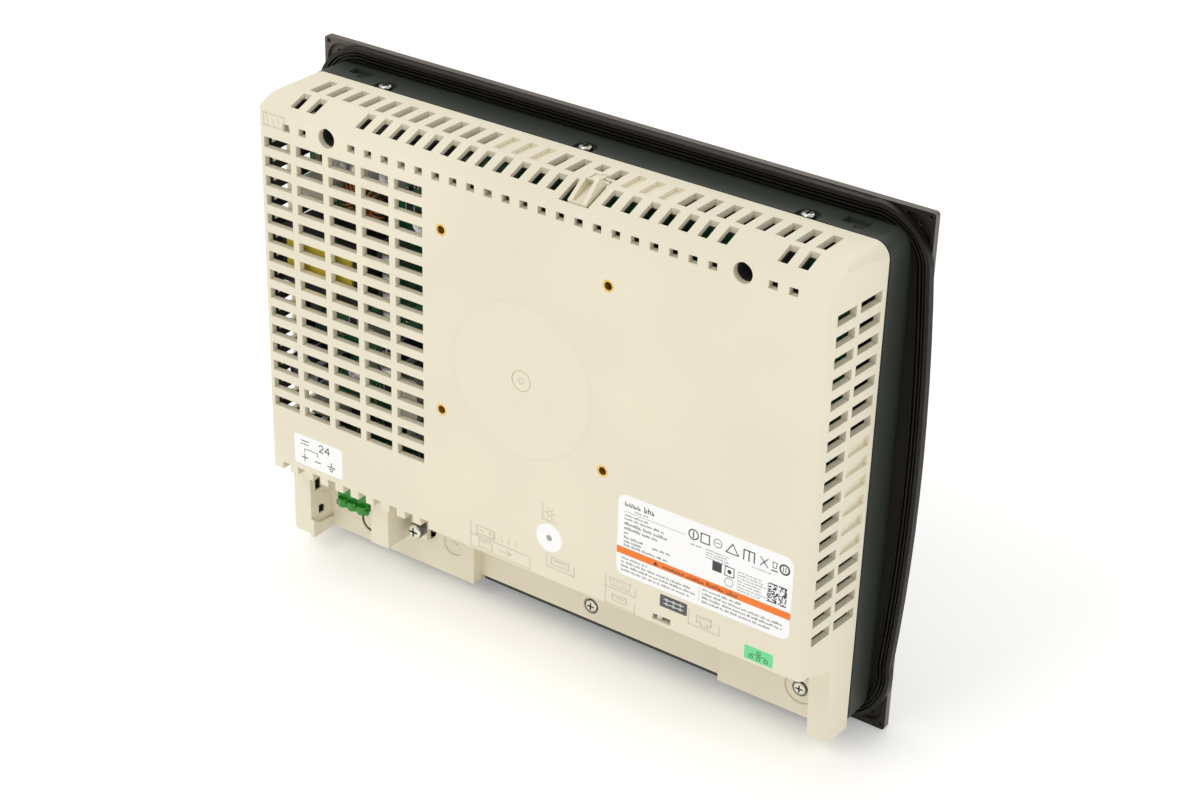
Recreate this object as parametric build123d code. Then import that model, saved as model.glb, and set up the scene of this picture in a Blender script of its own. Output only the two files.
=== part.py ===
"""Operator touch panel for a machine: front bezel, case, display stack, boards, ports and fasteners.

Frame while drawing: +X to the right as seen from the screen side, -Y towards the user, +Z up.
Y = 0 is the face of the bezel that meets the cabinet door, and Z = 0 is the bezel's lower edge.
Every solid is moved by ORIGIN when it is written, so that the row's origin is under the middle
of the panel's depth.
"""
from build123d import *
import os
from math import cos, radians, tan

# Overall sizes, mm
BEZEL_W = 272.5
BEZEL_H = 214.5
RIM_T = 3.0
FRONT_Y = -6.5
DEPTH = 57.0
REAR_Y = FRONT_Y + DEPTH
ORIGIN = Pos(0, -(FRONT_Y + REAR_Y) / 2, 0)
THROUGH = (0, REAR_Y + 9.5)  # depth of a bore that runs right through

# Body that goes through the cabinet cut-out
FRAME_W = 257.8
BODY_H = 200.0
BODY_Z0 = (BEZEL_H - BODY_H) / 2
BODY_Z1 = BODY_Z0 + BODY_H
PARTING_Y = 16.3
CORNER_R = 6.3
WALL = 2.8
COVER_HALF = 128.6
COVER_REAR_HALF = 126.4
CHAMFER_Y = 36.8
CHAMFER_Z = 202.0
DECK_Z = 45.8
FLOOR_Y = 18.3

# Vents, all on one pitch
PITCH = 8.0
VENT_X0 = 112.0
VENT_COUNT = 29
VENT_W = 4.0
TOP_VENT_Y = (22.4, 34.5)
CHAMFER_VENT_Y = (37.5, 45.6)
BLIND_VENTS = (11, 12, 13, 18, 19, 20)
ACCESS_X = 92.0
ACCESS_Z = 198.2
ACCESS_R = 3.9
GRILLE_COLS = 5
GRILLE_ROWS = 15
GRILLE_SLOT = (13.2, 4.4)
GRILLE_X0 = 116.9
GRILLE_Z0 = 189.0
SIDE_ROWS = 17
SIDE_Z0 = 188.8
SIDE_SLOT_Y = ((19.0, 31.8), (34.3, 45.7))
SIDE_BLIND_ROWS = range(7, 13)

# Mounting and service details on the rear face
INSERT_SPACING = 75.0
INSERT_Z = 139.2
INSERT_BORE_R = 1.65
INSERT_R = 2.4
LABEL_T = 0.15
LED_X = -14.1
LED_Z = 64.0
LABELS = {  # width, height, X, Z
    "power_label": (25.2, 13.6, 101.2, 58.6),
    "rating_label": (75.0, 34.4, -82.6, 78.4),
    "serial_label": (12.0, 5.3, -71.0, 56.9),
    "network_label": (12.2, 5.9, -108.3, 49.9),
}

# Lower bay
LEG_LEFT_X = (118.5, 130.0)
LEG_LEFT_Y = 37.0
LEG_RIGHT_X = (-130.0, -119.0)
LEG_RIGHT_Y = 29.0
BLOCK_LEFT_X = (42.6, 120.0)
BLOCK_LEFT_Y = 24.0
BLOCK_RIGHT_X = (-120.0, -73.2)
BLOCK_RIGHT_Y = 19.9
RIB_X = (75.0, 84.0)
RIB_Y = 39.0
RIB_Z = 19.0

# Screws: X of those in the top, and (X, Z, Y of the wall's face) of those in the lower bay
TOP_SCREW_X = (-94.3, 0.0, 94.3)
TOP_SCREW_Y = 13.2
CLAMP_X = (-110.8, 110.4)
REAR_SCREWS = ((-12.0, 15.6, 17.6), (-109.6, 19.2, BLOCK_RIGHT_Y - 0.4))
ACCESS_FLOOR_Y = 25.0

# Ports on the deck that faces down
POWER_X = 93.0
POLE_PITCH = 5.08
EARTH_X = 67.5
EARTH_Z = 26.5
EARTH_HEAD_Y = 29.6
DOOR_X = (-3.0, 21.0)
DOOR_Y = (23.6, 45.0)
DOOR_T = 1.8
DOOR_AXIS = (24.8, 47.0)
USB_X = -20.0
SERIAL_X = -47.0
SERIAL_Y = 28.2
JACK_SPACING = 25.0
JACK_BORE_R = 1.1
FIELDBUS_X = -84.0
NETWORK_X = -108.0
JACK_Y = (23.5, 37.0)
SWITCH_X = -64.5
SWITCH_Z = 48.5

# Anti-drop hook
HOOK_X = (-25.5, -17.5)
HOOK_AXIS = (30.2, 205.9)
HOOK_TOP = 210.6

# Display stack and boards, as distances behind the seat face
GLASS_Y = (-4.5, -2.7)
LCD_Y = (-2.5, -0.9)
LIGHT_GUIDE_Y = (-0.9, 2.1)
CHASSIS_Y = (7.5, 8.5)
MAIN_BOARD_Y = (20.0, 21.6)
POWER_BOARD_Y = (24.0, 25.6)
PORT_BOARD_Y = (37.0, 38.6)
MAIN_BOARD = (-121.0, 43.0, 50.0, 194.5)
POWER_BOARD = (46.0, 123.0, 52.0, 191.5)
PORT_BOARD = (-124.0, -30.0, 48.9, 96.0)
STANDOFF_PLACES = [(x, z, MAIN_BOARD_Y[0]) for x, z in
                   ((-115, 56), (-115, 190), (-32, 56), (-40, 190), (37, 56), (37, 190))]
STANDOFF_PLACES += [(x, z, POWER_BOARD_Y[0]) for x in (52, 118) for z in (58, 187)]
TRANSFORMER_X = (82.0, 121.6)
TRANSFORMER_Z = (129.0, 153.0)

RUN = 0.05  # radial clearance of a pin in its bore
REARWARD = Rot(-90, 0, 0)  # turns a part drawn along +Z to point along +Y


def block(x, y, z):
    """Box between two X, two Y and two Z values."""
    size = [abs(b - a) for a, b in (x, y, z)]
    middle = [(a + b) / 2 for a, b in (x, y, z)]
    return Pos(*middle) * Box(*size)


def rod_x(x, y, z, r):
    """Cylinder along X between the two values in x."""
    return Pos((x[0] + x[1]) / 2, y, z) * Rot(0, 90, 0) * Cylinder(r, abs(x[1] - x[0]))


def rod_y(x, y, z, r):
    """Cylinder along Y between the two values in y."""
    return Pos(x, (y[0] + y[1]) / 2, z) * Rot(90, 0, 0) * Cylinder(r, abs(y[1] - y[0]))


def rod_z(x, y, z, r):
    """Cylinder along Z between the two values in z."""
    return Pos(x, y, (z[0] + z[1]) / 2) * Cylinder(r, abs(z[1] - z[0]))


def slab(outline, y):
    """Prism along Y of an outline drawn in X and Z."""
    plane = Plane((0, y[1], 0), x_dir=(1, 0, 0), z_dir=(0, -1, 0))
    return extrude(plane * outline, amount=y[1] - y[0])


def plate(width, height, z_mid, y, r=0.0):
    """Rectangular prism along Y, centred on X = 0, with rounded corners."""
    outline = RectangleRounded(width, height, r) if r else Rectangle(width, height)
    return slab(Pos(0, z_mid) * outline, y)


def side_prism(points, x):
    """Prism along X of a polygon given as (y, z) points."""
    face = make_face(Plane.YZ.offset(min(x)) * Polyline(*points, close=True))
    return extrude(face, amount=abs(x[1] - x[0]), dir=(1, 0, 0))


def union(pieces):
    """One solid, or a group of separate solids, from a list of pieces."""
    total = pieces[0]
    for piece in pieces[1:]:
        total = total + piece
    return total


def cross_recess(size, depth):
    """Cross-shaped driver recess that opens towards +Z at the origin."""
    bar = Box(size, size / 5, depth)
    return Pos(0, 0, -depth / 2) * (bar + Rot(0, 0, 90) * bar)


def pan_screw(r, head_r, head_t, length, place):
    """Pan-head cross screw with its head's seat at the origin and its head towards +Z."""
    head = Pos(0, 0, head_t / 2) * Cylinder(head_r, head_t)
    head = fillet(head.edges().filter_by(GeomType.CIRCLE).sort_by(Axis.Z)[-1], head_t * 0.55)
    shank = Pos(0, 0, -length / 2) * Cylinder(r, length)
    screw = head + shank - Pos(0, 0, head_t) * cross_recess(head_r * 1.15, head_t * 0.55)
    return place * screw


# ---------------------------------------------------------------- front

def tapered_plate(rear, front):
    """Loft along Y between two rounded rectangles, each given as (width, height, radius, y)."""
    sections = []
    for width, height, r, y in (rear, front):
        plane = Plane((0, y, BEZEL_H / 2), x_dir=(1, 0, 0), z_dir=(0, -1, 0))
        sections.append(plane * RectangleRounded(width, height, r))
    return loft(sections)


def front_bezel():
    mid = BEZEL_H / 2
    bevel = FRONT_Y + RIM_T
    bezel = plate(BEZEL_W, BEZEL_H, mid, (-RIM_T, 0), 1.4)
    bezel += tapered_plate((BEZEL_W, BEZEL_H, 1.4, -RIM_T),
                           (BEZEL_W + 2 * bevel, BEZEL_H + 2 * bevel, 1.0, FRONT_Y))
    bezel -= tapered_plate((213.5, 160.5, 2.0, GLASS_Y[0]), (219.5, 166.5, 4.0, FRONT_Y))
    bezel -= plate(241.0, 184.0, mid, (GLASS_Y[0], 1), 3.0)
    corner_x = BEZEL_W / 2 - 2.1
    rounded = plate(269.6, BEZEL_H - 3.4, mid, (-1.4, 1), 7.0)
    for sx in (-1, 1):
        for z, sz in ((0, 1), (BEZEL_H, -1)):
            bezel -= rod_y(sx * corner_x, (-1.6, 1), z + sz * 1.9, 0.95)
            bezel -= rod_y(sx * 130.0, (-2.4, 0), z + sz * 5.6, 0.9)
            corner = block((sx * 124.5, sx * 136.0), (-1.5, 1), (z, z + sz * 14.5))
            keep = rod_y(sx * 119.0, (-2, 1.5), z + sz * 17.5, 14.0)
            bezel -= (rounded & corner) - keep
    return bezel


def gasket_outline(inset):
    """Edge of the loose gasket, bowed outwards along both sides, moved inwards by inset."""
    diagonal = inset * cos(radians(45))
    top = BEZEL_H - 0.1 - inset
    low = 0.3 + inset
    side_high = (137.3 - inset, 196.0)
    side_low = (137.3 - inset, 30.0)
    top_end = (112.0, top - 0.2)
    low_end = (118.0, low + 0.3)
    high_bend = (130.6 - diagonal, 208.1 - diagonal)
    low_bend = (133.2 - diagonal, 10.6 + diagonal)
    bow = (141.0 - inset, 116.0)

    def mirror(p):
        return (-p[0], p[1])

    right = [
        ThreePointArc(low_end, low_bend, side_low),
        ThreePointArc(side_low, bow, side_high),
        ThreePointArc(side_high, high_bend, top_end),
    ]
    left = [
        ThreePointArc(mirror(top_end), mirror(high_bend), mirror(side_high)),
        ThreePointArc(mirror(side_high), mirror(bow), mirror(side_low)),
        ThreePointArc(mirror(side_low), mirror(low_bend), mirror(low_end)),
    ]
    over = ThreePointArc(top_end, (0, top), mirror(top_end))
    under = ThreePointArc(mirror(low_end), (0, low), low_end)
    return make_face(right + [over] + left + [under])


def panel_gasket():
    """Sealing band with a flat outer strip and three thin lips on its inner strip."""

    def ring(outer, inner, height):
        return slab(gasket_outline(outer), (0, height)) - slab(gasket_outline(inner), (-1, height + 1))

    gasket = ring(0, 1.7, 3.2) + ring(1.7, 6.8, 1.2)
    gasket += ring(2.4, 2.9, 2.9) + ring(3.7, 4.3, 2.9) + ring(5.2, 5.8, 2.7)
    room = plate(FRAME_W + 0.6, BODY_H + 0.6, BEZEL_H / 2, (-1, 5), CORNER_R + 0.3)
    return gasket - room


def touch_glass():
    return plate(240.0, 183.0, BEZEL_H / 2, GLASS_Y, 2.5)


def front_film():
    """Printed film bonded to the glass, seen through the bezel's window."""
    return plate(213.1, 160.1, BEZEL_H / 2, (GLASS_Y[0] - 0.3, GLASS_Y[0]), 1.9)


def lcd_panel():
    return plate(226.0, 170.0, BEZEL_H / 2, LCD_Y)


def backlight_guide():
    return plate(226.0, 170.0, BEZEL_H / 2, LIGHT_GUIDE_Y)


def lcd_frame():
    mid = BEZEL_H / 2
    tray = plate(229.0, 173.0, mid, (-2.7, 3.1), 1.0)
    tray -= plate(226.2, 170.2, mid, (-2.5, 2.1))
    return tray - plate(214.0, 161.0, mid, (-4, -2))


def lcd_cushions():
    """Four rubber pads between the display tray and the chassis plate."""
    return [block((x - 8, x + 8), (3.1, CHASSIS_Y[0]), (z - 4, z + 4))
            for x in (-95, 95) for z in (40, 175)]


# ---------------------------------------------------------------- case

def clamp_slot(x, z0, z1):
    """T-shaped pocket that takes a mounting clamp."""
    return block((x - 5, x + 5), (5.4, 10.4), (z0, z1)) + block((x - 4.4, x - 0.6), (10.4, 12.6), (z0, z1))


def middle_frame():
    mid = BEZEL_H / 2
    frame = plate(FRAME_W, BODY_H, mid, (0, PARTING_Y), CORNER_R)
    inner_w = FRAME_W - 2 * WALL
    inner_h = BODY_H - 2 * WALL
    frame -= plate(inner_w, inner_h, mid, (-1, PARTING_Y + 1), CORNER_R - WALL)
    ledge = plate(inner_w, inner_h, mid, (5.5, CHASSIS_Y[0]), CORNER_R - WALL)
    frame += ledge - plate(inner_w - 14, inner_h - 10, mid, (4, 9), 3.0)
    lip = block((-72.0, 41.5), (PARTING_Y, 17.7), (BODY_Z0, BODY_Z0 + 1.3))
    frame += lip
    for x in TOP_SCREW_X:
        seat = rod_z(x, TOP_SCREW_Y, (BODY_Z1 - 1.2, BODY_Z1 + 1), 4.4)
        frame -= seat + block((x - 4.4, x + 4.4), (TOP_SCREW_Y, 20), (BODY_Z1 - 1.2, BODY_Z1 + 1))
        frame -= rod_z(x, TOP_SCREW_Y, (BODY_Z1 - 6, BODY_Z1 + 1), 1.6)
    parting = plate(FRAME_W + 2, BODY_H + 2, mid, (PARTING_Y - 0.5, PARTING_Y))
    frame -= parting - plate(FRAME_W - 1.2, BODY_H - 1.2, mid, (0, PARTING_Y + 1), CORNER_R - 0.6)
    for x in CLAMP_X:
        frame -= clamp_slot(x, BODY_Z1 - 2.0, BODY_Z1 + 1)
        frame -= clamp_slot(x, BODY_Z0 - 1, BODY_Z0 + 2.0)
    return frame


def cover_plan(inset, front_y):
    """The cover's tapered plan over its full height, with rounded rear edges on the outside."""
    slope = (COVER_HALF - COVER_REAR_HALF) / (REAR_Y - PARTING_Y)
    rear = REAR_Y - inset
    half_front = COVER_HALF - inset + slope * (PARTING_Y - front_y)
    half_rear = COVER_REAR_HALF - inset + slope * inset
    corners = [(-half_front, front_y), (half_front, front_y), (half_rear, rear), (-half_rear, rear)]
    plan = make_face(Polyline(*corners, close=True))
    if inset == 0:
        plan = fillet(plan.vertices().sort_by(Axis.Y)[2:], 2.6)
    return extrude(Pos(0, 0, BODY_Z0) * plan, amount=BODY_H, dir=(0, 0, 1))


def cover_envelope(inset, front_y):
    """Outer or inner form of the deep part of the rear cover."""
    rear = REAR_Y - inset
    rise = (BODY_Z1 - CHAMFER_Z) / (REAR_Y - CHAMFER_Y)
    shift = inset * ((1 + rise ** 2) ** 0.5 - 1) / rise
    bevel_z = BODY_Z1 - inset - rise * (rear - CHAMFER_Y + shift)
    profile = [
        (front_y, BODY_Z1 - inset),
        (CHAMFER_Y - shift, BODY_Z1 - inset),
        (rear, bevel_z),
        (rear, DECK_Z + inset),
        (front_y, DECK_Z + inset),
    ]
    side = side_prism(profile, (-140, 140))
    front = plate(2 * (COVER_HALF - inset), BODY_H - 2 * inset, BEZEL_H / 2,
                  (front_y, rear + 1), CORNER_R - inset)
    return cover_plan(inset, front_y) & side & front


def vent_cuts():
    """Every open or blind slot in the top, chamfer, rear and sides of the cover."""
    cuts = []
    hook_mid = sum(HOOK_X) / 2
    for i in range(VENT_COUNT):
        x = VENT_X0 - PITCH * i
        span = (x - VENT_W / 2, x + VENT_W / 2)
        near_hook = abs(x - hook_mid) < PITCH
        near_access = abs(abs(x) - ACCESS_X) < PITCH
        depth = 1.6 if i in BLIND_VENTS else 6
        far_y = TOP_VENT_Y
        if near_hook:
            far_y = (TOP_VENT_Y[0], 28.0 if x > hook_mid else 33.4)
        cuts.append(block(span, far_y, (BODY_Z1 - depth, BODY_Z1 + 1)))
        if not near_hook and not near_access:
            cuts.append(block(span, CHAMFER_VENT_Y, (CHAMFER_Z - 4, BODY_Z1 + 1)))
        if not near_access:
            cuts.append(block((x - 1.8, x + 1.8), (REAR_Y - 5, REAR_Y + 1), (195.7, 198.7)))
    slot_w, slot_h = GRILLE_SLOT
    for col in range(GRILLE_COLS):
        x = GRILLE_X0 - 2 * PITCH * col
        for row in range(GRILLE_ROWS):
            z = GRILLE_Z0 - PITCH * row
            cuts.append(block((x - slot_w / 2, x + slot_w / 2), (REAR_Y - 5, REAR_Y + 1),
                              (z - slot_h / 2, z + slot_h / 2)))
    for side in (-1, 1):
        for col, span_y in enumerate(SIDE_SLOT_Y):
            for row in range(SIDE_ROWS):
                z = SIDE_Z0 - PITCH * row
                blind = col == 0 and row in SIDE_BLIND_ROWS
                depth = 126.7 if blind else 120.0
                cuts.append(block((side * depth, side * 132), span_y, (z - 2.1, z + 2.1)))
    for i in range(10):
        x = 118.5 - PITCH * i
        cuts.append(block((x - 2, x + 2), (43.5, REAR_Y + 1), (DECK_Z - 1, DECK_Z + 3.4)))
    return cuts


def deck_cuts():
    """Openings in the deck for the ports, the door and the switch."""
    z = (DECK_Z - 1, DECK_Z + WALL + 1)
    jack = (JACK_Y[0] - 0.2, JACK_Y[1] + 0.2)
    cuts = [
        block((POWER_X - 8.6, POWER_X + 8.6), (29.8, 42.2), z),
        block((DOOR_X[0] - 0.4, DOOR_X[1] + 0.4), (DOOR_Y[0] - 0.3, DOOR_Y[1] + 0.4), z),
        block((USB_X - 7.0, USB_X + 7.0), (21.4, 28.8), z),
        block((SERIAL_X - 15.8, SERIAL_X + 15.8), (21.6, 34.9), z),
        block((SERIAL_X - 4.6, SERIAL_X + 4.6), (38.4, 43.0), z),
        block((FIELDBUS_X - 8.2, FIELDBUS_X + 8.2), jack, z),
        block((NETWORK_X - 8.2, NETWORK_X + 8.2), jack, z),
        block((-71.6, -60.4), (38.4, REAR_Y - WALL + 0.1), (DECK_Z + 0.9, DECK_Z + WALL + 1)),
        block((-70.0, -62.0), (45.0, REAR_Y + 1), (47.2, 49.8)),
    ]
    axis_y, axis_z = DOOR_AXIS
    cuts.append(rod_x((DOOR_X[0] - 2.2, DOOR_X[1] + 2.2), axis_y, axis_z, 0.6 + RUN))
    return cuts


def lower_bay():
    """Shallow lower wall with the two raised blocks, the rib and the two feet."""
    join_z = DECK_Z + 0.5
    low = BODY_Z0
    wall = block((-126, 126), (PARTING_Y, FLOOR_Y), (low + 1.8, join_z))
    edge = block((-130, -72.5), (PARTING_Y, FLOOR_Y), (low, join_z))
    edge += block((42.6, 130), (PARTING_Y, FLOOR_Y), (low, join_z))
    left = block(BLOCK_LEFT_X, (PARTING_Y, BLOCK_LEFT_Y), (low, join_z))
    right = block(BLOCK_RIGHT_X, (PARTING_Y, BLOCK_RIGHT_Y), (low, join_z))
    foot_left = block(LEG_LEFT_X, (PARTING_Y, LEG_LEFT_Y), (low, join_z))
    foot_left = fillet(foot_left.edges().filter_by(Axis.X).group_by(Axis.Z)[0].sort_by(Axis.Y)[-1], 2.5)
    step = [(PARTING_Y, low), (LEG_LEFT_Y, low), (LEG_LEFT_Y, 15.8), (33.2, 12.8), (PARTING_Y, 11.2)]
    foot_left += side_prism(step, (LEG_LEFT_X[0] - 1.4, LEG_LEFT_X[0] + 0.5))
    foot_left -= block((116, 125.0), (30.4, 34.0), (28.2, 33.4))
    foot_left += rod_x((LEG_LEFT_X[0] - 0.5, LEG_LEFT_X[0] + 1), 28.5, 24.7, 0.9)
    foot_left -= side_prism([(32.2, 16.2), (28.8, 16.2), (28.4, 18.6), (30.2, 20.2), (32.2, 20.2)],
                            (116, 125.0))
    foot_profile = [
        (PARTING_Y, low),
        (LEG_RIGHT_Y, low),
        (LEG_RIGHT_Y + 2.7, 41.5),
        (REAR_Y - 1.0, DECK_Z + 1.0),
        (PARTING_Y, DECK_Z + 1.0),
    ]
    foot_right = side_prism(foot_profile, (LEG_RIGHT_X[0], LEG_RIGHT_X[1]))
    foot_right &= block((LEG_RIGHT_X[0], LEG_RIGHT_X[1]), THROUGH, (0, DECK_Z + 0.5))
    rib = block(RIB_X, (BLOCK_LEFT_Y - 1, RIB_Y), (RIB_Z, join_z))
    bay = wall + edge + left + right + foot_left + foot_right + rib
    bay &= cover_plan(0, PARTING_Y)
    bay -= block((45.0, 117.0), (PARTING_Y - 1, BLOCK_LEFT_Y - 2.2), (low + 2.4, DECK_Z - 2.0))
    bay -= rod_y(EARTH_X, (PARTING_Y - 1, 30), EARTH_Z - 1.2, 5.6)
    groove = rod_y(96.5, (BLOCK_LEFT_Y - 1.6, BLOCK_LEFT_Y + 1), 17.0, 5.5)
    bay -= groove - rod_y(96.5, (0, 30), 17.0, 4.1)
    for x, z, y in REAR_SCREWS:
        bay -= rod_y(x, (y - 0.9, y + 5), z, 3.5)
        bay -= rod_y(x, (10, y + 5), z, 1.7)
    ring = rod_y(-109.6, (BLOCK_RIGHT_Y - 0.6, BLOCK_RIGHT_Y + 1), 19.2, 6.8)
    bay -= ring - rod_y(-109.6, (0, 30), 19.2, 6.0)
    mark = rod_y(53.0, (BLOCK_LEFT_Y - 0.6, BLOCK_LEFT_Y + 1), 22.0, 5.0)
    return bay - (mark - rod_y(53.0, (0, BLOCK_LEFT_Y - 0.2), 22.0, 1.1))


def rear_cover():
    outer = cover_envelope(0, PARTING_Y)
    inner = cover_envelope(WALL, PARTING_Y - 1)
    cover = outer - inner
    for x in (-ACCESS_X, ACCESS_X):
        cover += rod_y(x, (ACCESS_FLOOR_Y - 3, REAR_Y - 1), ACCESS_Z, ACCESS_R + 1.6) & outer
    insert_x = INSERT_SPACING / 2
    for x in (-insert_x, insert_x):
        for z in (INSERT_Z - insert_x, INSERT_Z + insert_x):
            cover += rod_y(x, (REAR_Y - 8, REAR_Y - 1), z, INSERT_R + 1.6)
    cover += lower_bay()
    cover -= vent_cuts()
    cover -= deck_cuts()
    for x in (-ACCESS_X, ACCESS_X):
        cover -= rod_y(x, (ACCESS_FLOOR_Y, REAR_Y + 1), ACCESS_Z, ACCESS_R)
        cover -= rod_y(x, (10, REAR_Y), ACCESS_Z, 1.7)
    for x in (-insert_x, insert_x):
        for z in (INSERT_Z - insert_x, INSERT_Z + insert_x):
            cover -= rod_y(x, (REAR_Y - 7, REAR_Y + 1), z, INSERT_R)
    cover -= block((-26.2, -16.9), (29.2, 37.7), (BODY_Z1 - 6, BODY_Z1 + 1))
    cover -= block((-26.6, -13.8), (37.5, 48.7), (196, BODY_Z1 + 1))
    cover -= rod_x((-29.6, -15.4), HOOK_AXIS[0], HOOK_AXIS[1], 0.7 + RUN)
    for width, height, x, z in LABELS.values():
        cover -= label_body(width, height, x, z)
    cover -= rod_y(LED_X, (REAR_Y - 5, REAR_Y + 1), LED_Z, 1.3)
    cover -= rod_y(LED_X, (REAR_Y - LABEL_T, REAR_Y + 1), LED_Z, 6.0)
    mark_ring = rod_y(0, (REAR_Y - 0.35, REAR_Y + 1), 126.5, 4.4) - rod_y(0, THROUGH, 126.5, 3.9)
    return cover - mark_ring


def label_body(width, height, x, z):
    """Thin sticker set flush in the rear face."""
    r = min(width, height) / 10
    return slab(Pos(x, z) * RectangleRounded(width, height, r), (REAR_Y - LABEL_T, REAR_Y))


def led_label():
    disc = rod_y(LED_X, (REAR_Y - LABEL_T, REAR_Y), LED_Z, 6.0)
    return disc - rod_y(LED_X, THROUGH, LED_Z, 1.3)


def led_lens():
    """Light pipe from the lamp on the port board to the rear face."""
    return rod_y(LED_X, (26.0, REAR_Y), LED_Z, 1.2)


def drop_hook():
    """Springy tongue whose wedge catches behind the door's cut-out until the clamps are fitted."""
    axis_y, axis_z = HOOK_AXIS
    top = BODY_Z1 - 0.1
    rise = (BODY_Z1 - CHAMFER_Z) / (REAR_Y - CHAMFER_Y)

    def on_chamfer(y, drop):
        return (y, BODY_Z1 - drop - rise * (y - CHAMFER_Y))

    tongue = block(HOOK_X, (33.8, 37.0), (top - 1.9, top))
    tongue += block((HOOK_X[1] - 3.9, HOOK_X[1]), (axis_y - 0.6, 34.0), (top - 1.9, top))
    floor = side_prism([(35.5, top - 0.1), on_chamfer(48.2, 0.6), on_chamfer(48.2, 2.4), (35.5, top - 2.3)],
                       HOOK_X)

    def web(x, peak_y, peak_z):
        profile = [(36.4, top - 1.5), (35.6, top), (peak_y - 1.0, peak_z), (peak_y, peak_z),
                   on_chamfer(48.2, -0.6), on_chamfer(48.2, 2.0)]
        return side_prism(profile, (x, x + 1.7))

    webs = [web(HOOK_X[0], 40.4, HOOK_TOP), web(HOOK_X[1] - 1.7, 39.6, HOOK_TOP - 1.2)]
    end = block(HOOK_X, (46.9, 48.2), (CHAMFER_Z - 0.4, CHAMFER_Z + 1.4))
    catch = side_prism([(35.6, top - 0.6), (38.6, HOOK_TOP - 1.4), (39.6, HOOK_TOP - 1.4), (37.0, top - 0.6)],
                       HOOK_X)
    pad = block((-19.8, -17.6), (30.0, 31.2), (top - 0.5, top + 0.6))
    pin = rod_x((-28.9, -16.0), axis_y, axis_z, 0.7)
    return union([tongue, floor, catch, end, pin, pad] + webs)


def card_door():
    """Flap over the battery and memory card, flush with the deck."""
    axis_y, axis_z = DOOR_AXIS
    flap = block(DOOR_X, (axis_y, DOOR_Y[1]), (DECK_Z, DECK_Z + DOOR_T))
    barrel = rod_x(DOOR_X, axis_y, axis_z, 1.1)
    pull = block((5, 13), (DOOR_Y[1] - 1.6, DOOR_Y[1]), (DECK_Z - 0.9, DECK_Z))
    bore = rod_x((DOOR_X[0] - 1, DOOR_X[1] + 1), axis_y, axis_z, 0.6 + RUN)
    return flap + barrel + pull - bore


def door_pin():
    axis_y, axis_z = DOOR_AXIS
    return rod_x((DOOR_X[0] - 2.0, DOOR_X[1] + 2.0), axis_y, axis_z, 0.6)


# ---------------------------------------------------------------- fasteners

def threaded_inserts():
    """Four brass inserts on a square pattern."""
    half = INSERT_SPACING / 2
    group = []
    for x in (-half, half):
        for z in (INSERT_Z - half, INSERT_Z + half):
            insert = rod_y(x, (REAR_Y - 6.5, REAR_Y), z, INSERT_R)
            insert -= rod_y(x, (REAR_Y - 1.2, REAR_Y - 0.8), z, INSERT_R + 1) - rod_y(
                x, THROUGH, z, INSERT_R - 0.2)
            group.append(insert - rod_y(x, THROUGH, z, INSERT_BORE_R))
    return group


def top_screws():
    return [pan_screw(1.5, 2.8, 1.9, 4.4, Pos(x, TOP_SCREW_Y, BODY_Z1 - 1.2)) for x in TOP_SCREW_X]


def rear_screws():
    shallow = [pan_screw(1.5, 2.8, 2.0, 7.0, Pos(x, y - 0.9, z) * REARWARD) for x, z, y in REAR_SCREWS]
    deep = [pan_screw(1.5, 2.8, 2.0, 12.0, Pos(x, ACCESS_FLOOR_Y, ACCESS_Z) * REARWARD)
            for x in (-ACCESS_X, ACCESS_X)]
    return shallow + deep


def earth_screw():
    return pan_screw(2.0, 3.6, 2.6, 15.5, Pos(EARTH_X, EARTH_HEAD_Y, EARTH_Z) * REARWARD)


def earth_spring_washer():
    """Split ring, its two ends offset along the screw."""
    y = (EARTH_HEAD_Y - 1.1, EARTH_HEAD_Y)
    ring = rod_y(EARTH_X, y, EARTH_Z, 3.4) - rod_y(EARTH_X, THROUGH, EARTH_Z, 2.1)
    return ring - Pos(EARTH_X + 2.8, sum(y) / 2, EARTH_Z) * Rot(0, 0, 20) * Box(2.4, 3, 0.6)


def earth_clamp_plate():
    """Square washer with two turned-up edges that keep the wire in place."""
    y0 = EARTH_HEAD_Y - 2.2
    square = block((EARTH_X - 4.3, EARTH_X + 4.3), (y0, y0 + 1.1), (EARTH_Z - 4.3, EARTH_Z + 4.3))
    lips = [block((EARTH_X + s * 3.5, EARTH_X + s * 4.3), (y0 - 1.3, y0), (EARTH_Z - 4.3, EARTH_Z + 4.3))
            for s in (-1, 1)]
    return square + lips[0] + lips[1] - rod_y(EARTH_X, THROUGH, EARTH_Z, 2.1)


def earth_bracket():
    """Bent strip from the chassis plate to the earth screw."""
    x = (EARTH_X - 7, EARTH_X + 7)
    face = block(x, (18.6, 20.0), (20.5, 41.5))
    shelf = block(x, (CHASSIS_Y[1], 20.0), (40.3, 41.5))
    foot = block(x, (CHASSIS_Y[1], CHASSIS_Y[1] + 1.2), (41.0, 48.0))
    return face + shelf + foot - rod_y(EARTH_X, THROUGH, EARTH_Z, 2.1)


# ---------------------------------------------------------------- inside

def chassis_plate():
    """Sheet plate on the frame's ledge, with three tabs that take the top screws."""
    mid = BEZEL_H / 2
    sheet = plate(FRAME_W - 2 * WALL - 1.0, BODY_H - 2 * WALL - 1.0, mid, CHASSIS_Y, 2.0)
    sheet -= block((-60, 20), (0, 20), (mid - 35, mid + 30))
    sheet -= block((-119, -117), (0, 20), (mid - 8, mid + 8))
    for x in TOP_SCREW_X:
        tab = block((x - 6, x + 6), (CHASSIS_Y[0], TOP_SCREW_Y + 3), (202.6, 203.8))
        sheet += tab
        sheet -= rod_z(x, TOP_SCREW_Y, (195, 210), 1.55)
    return sheet


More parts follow.
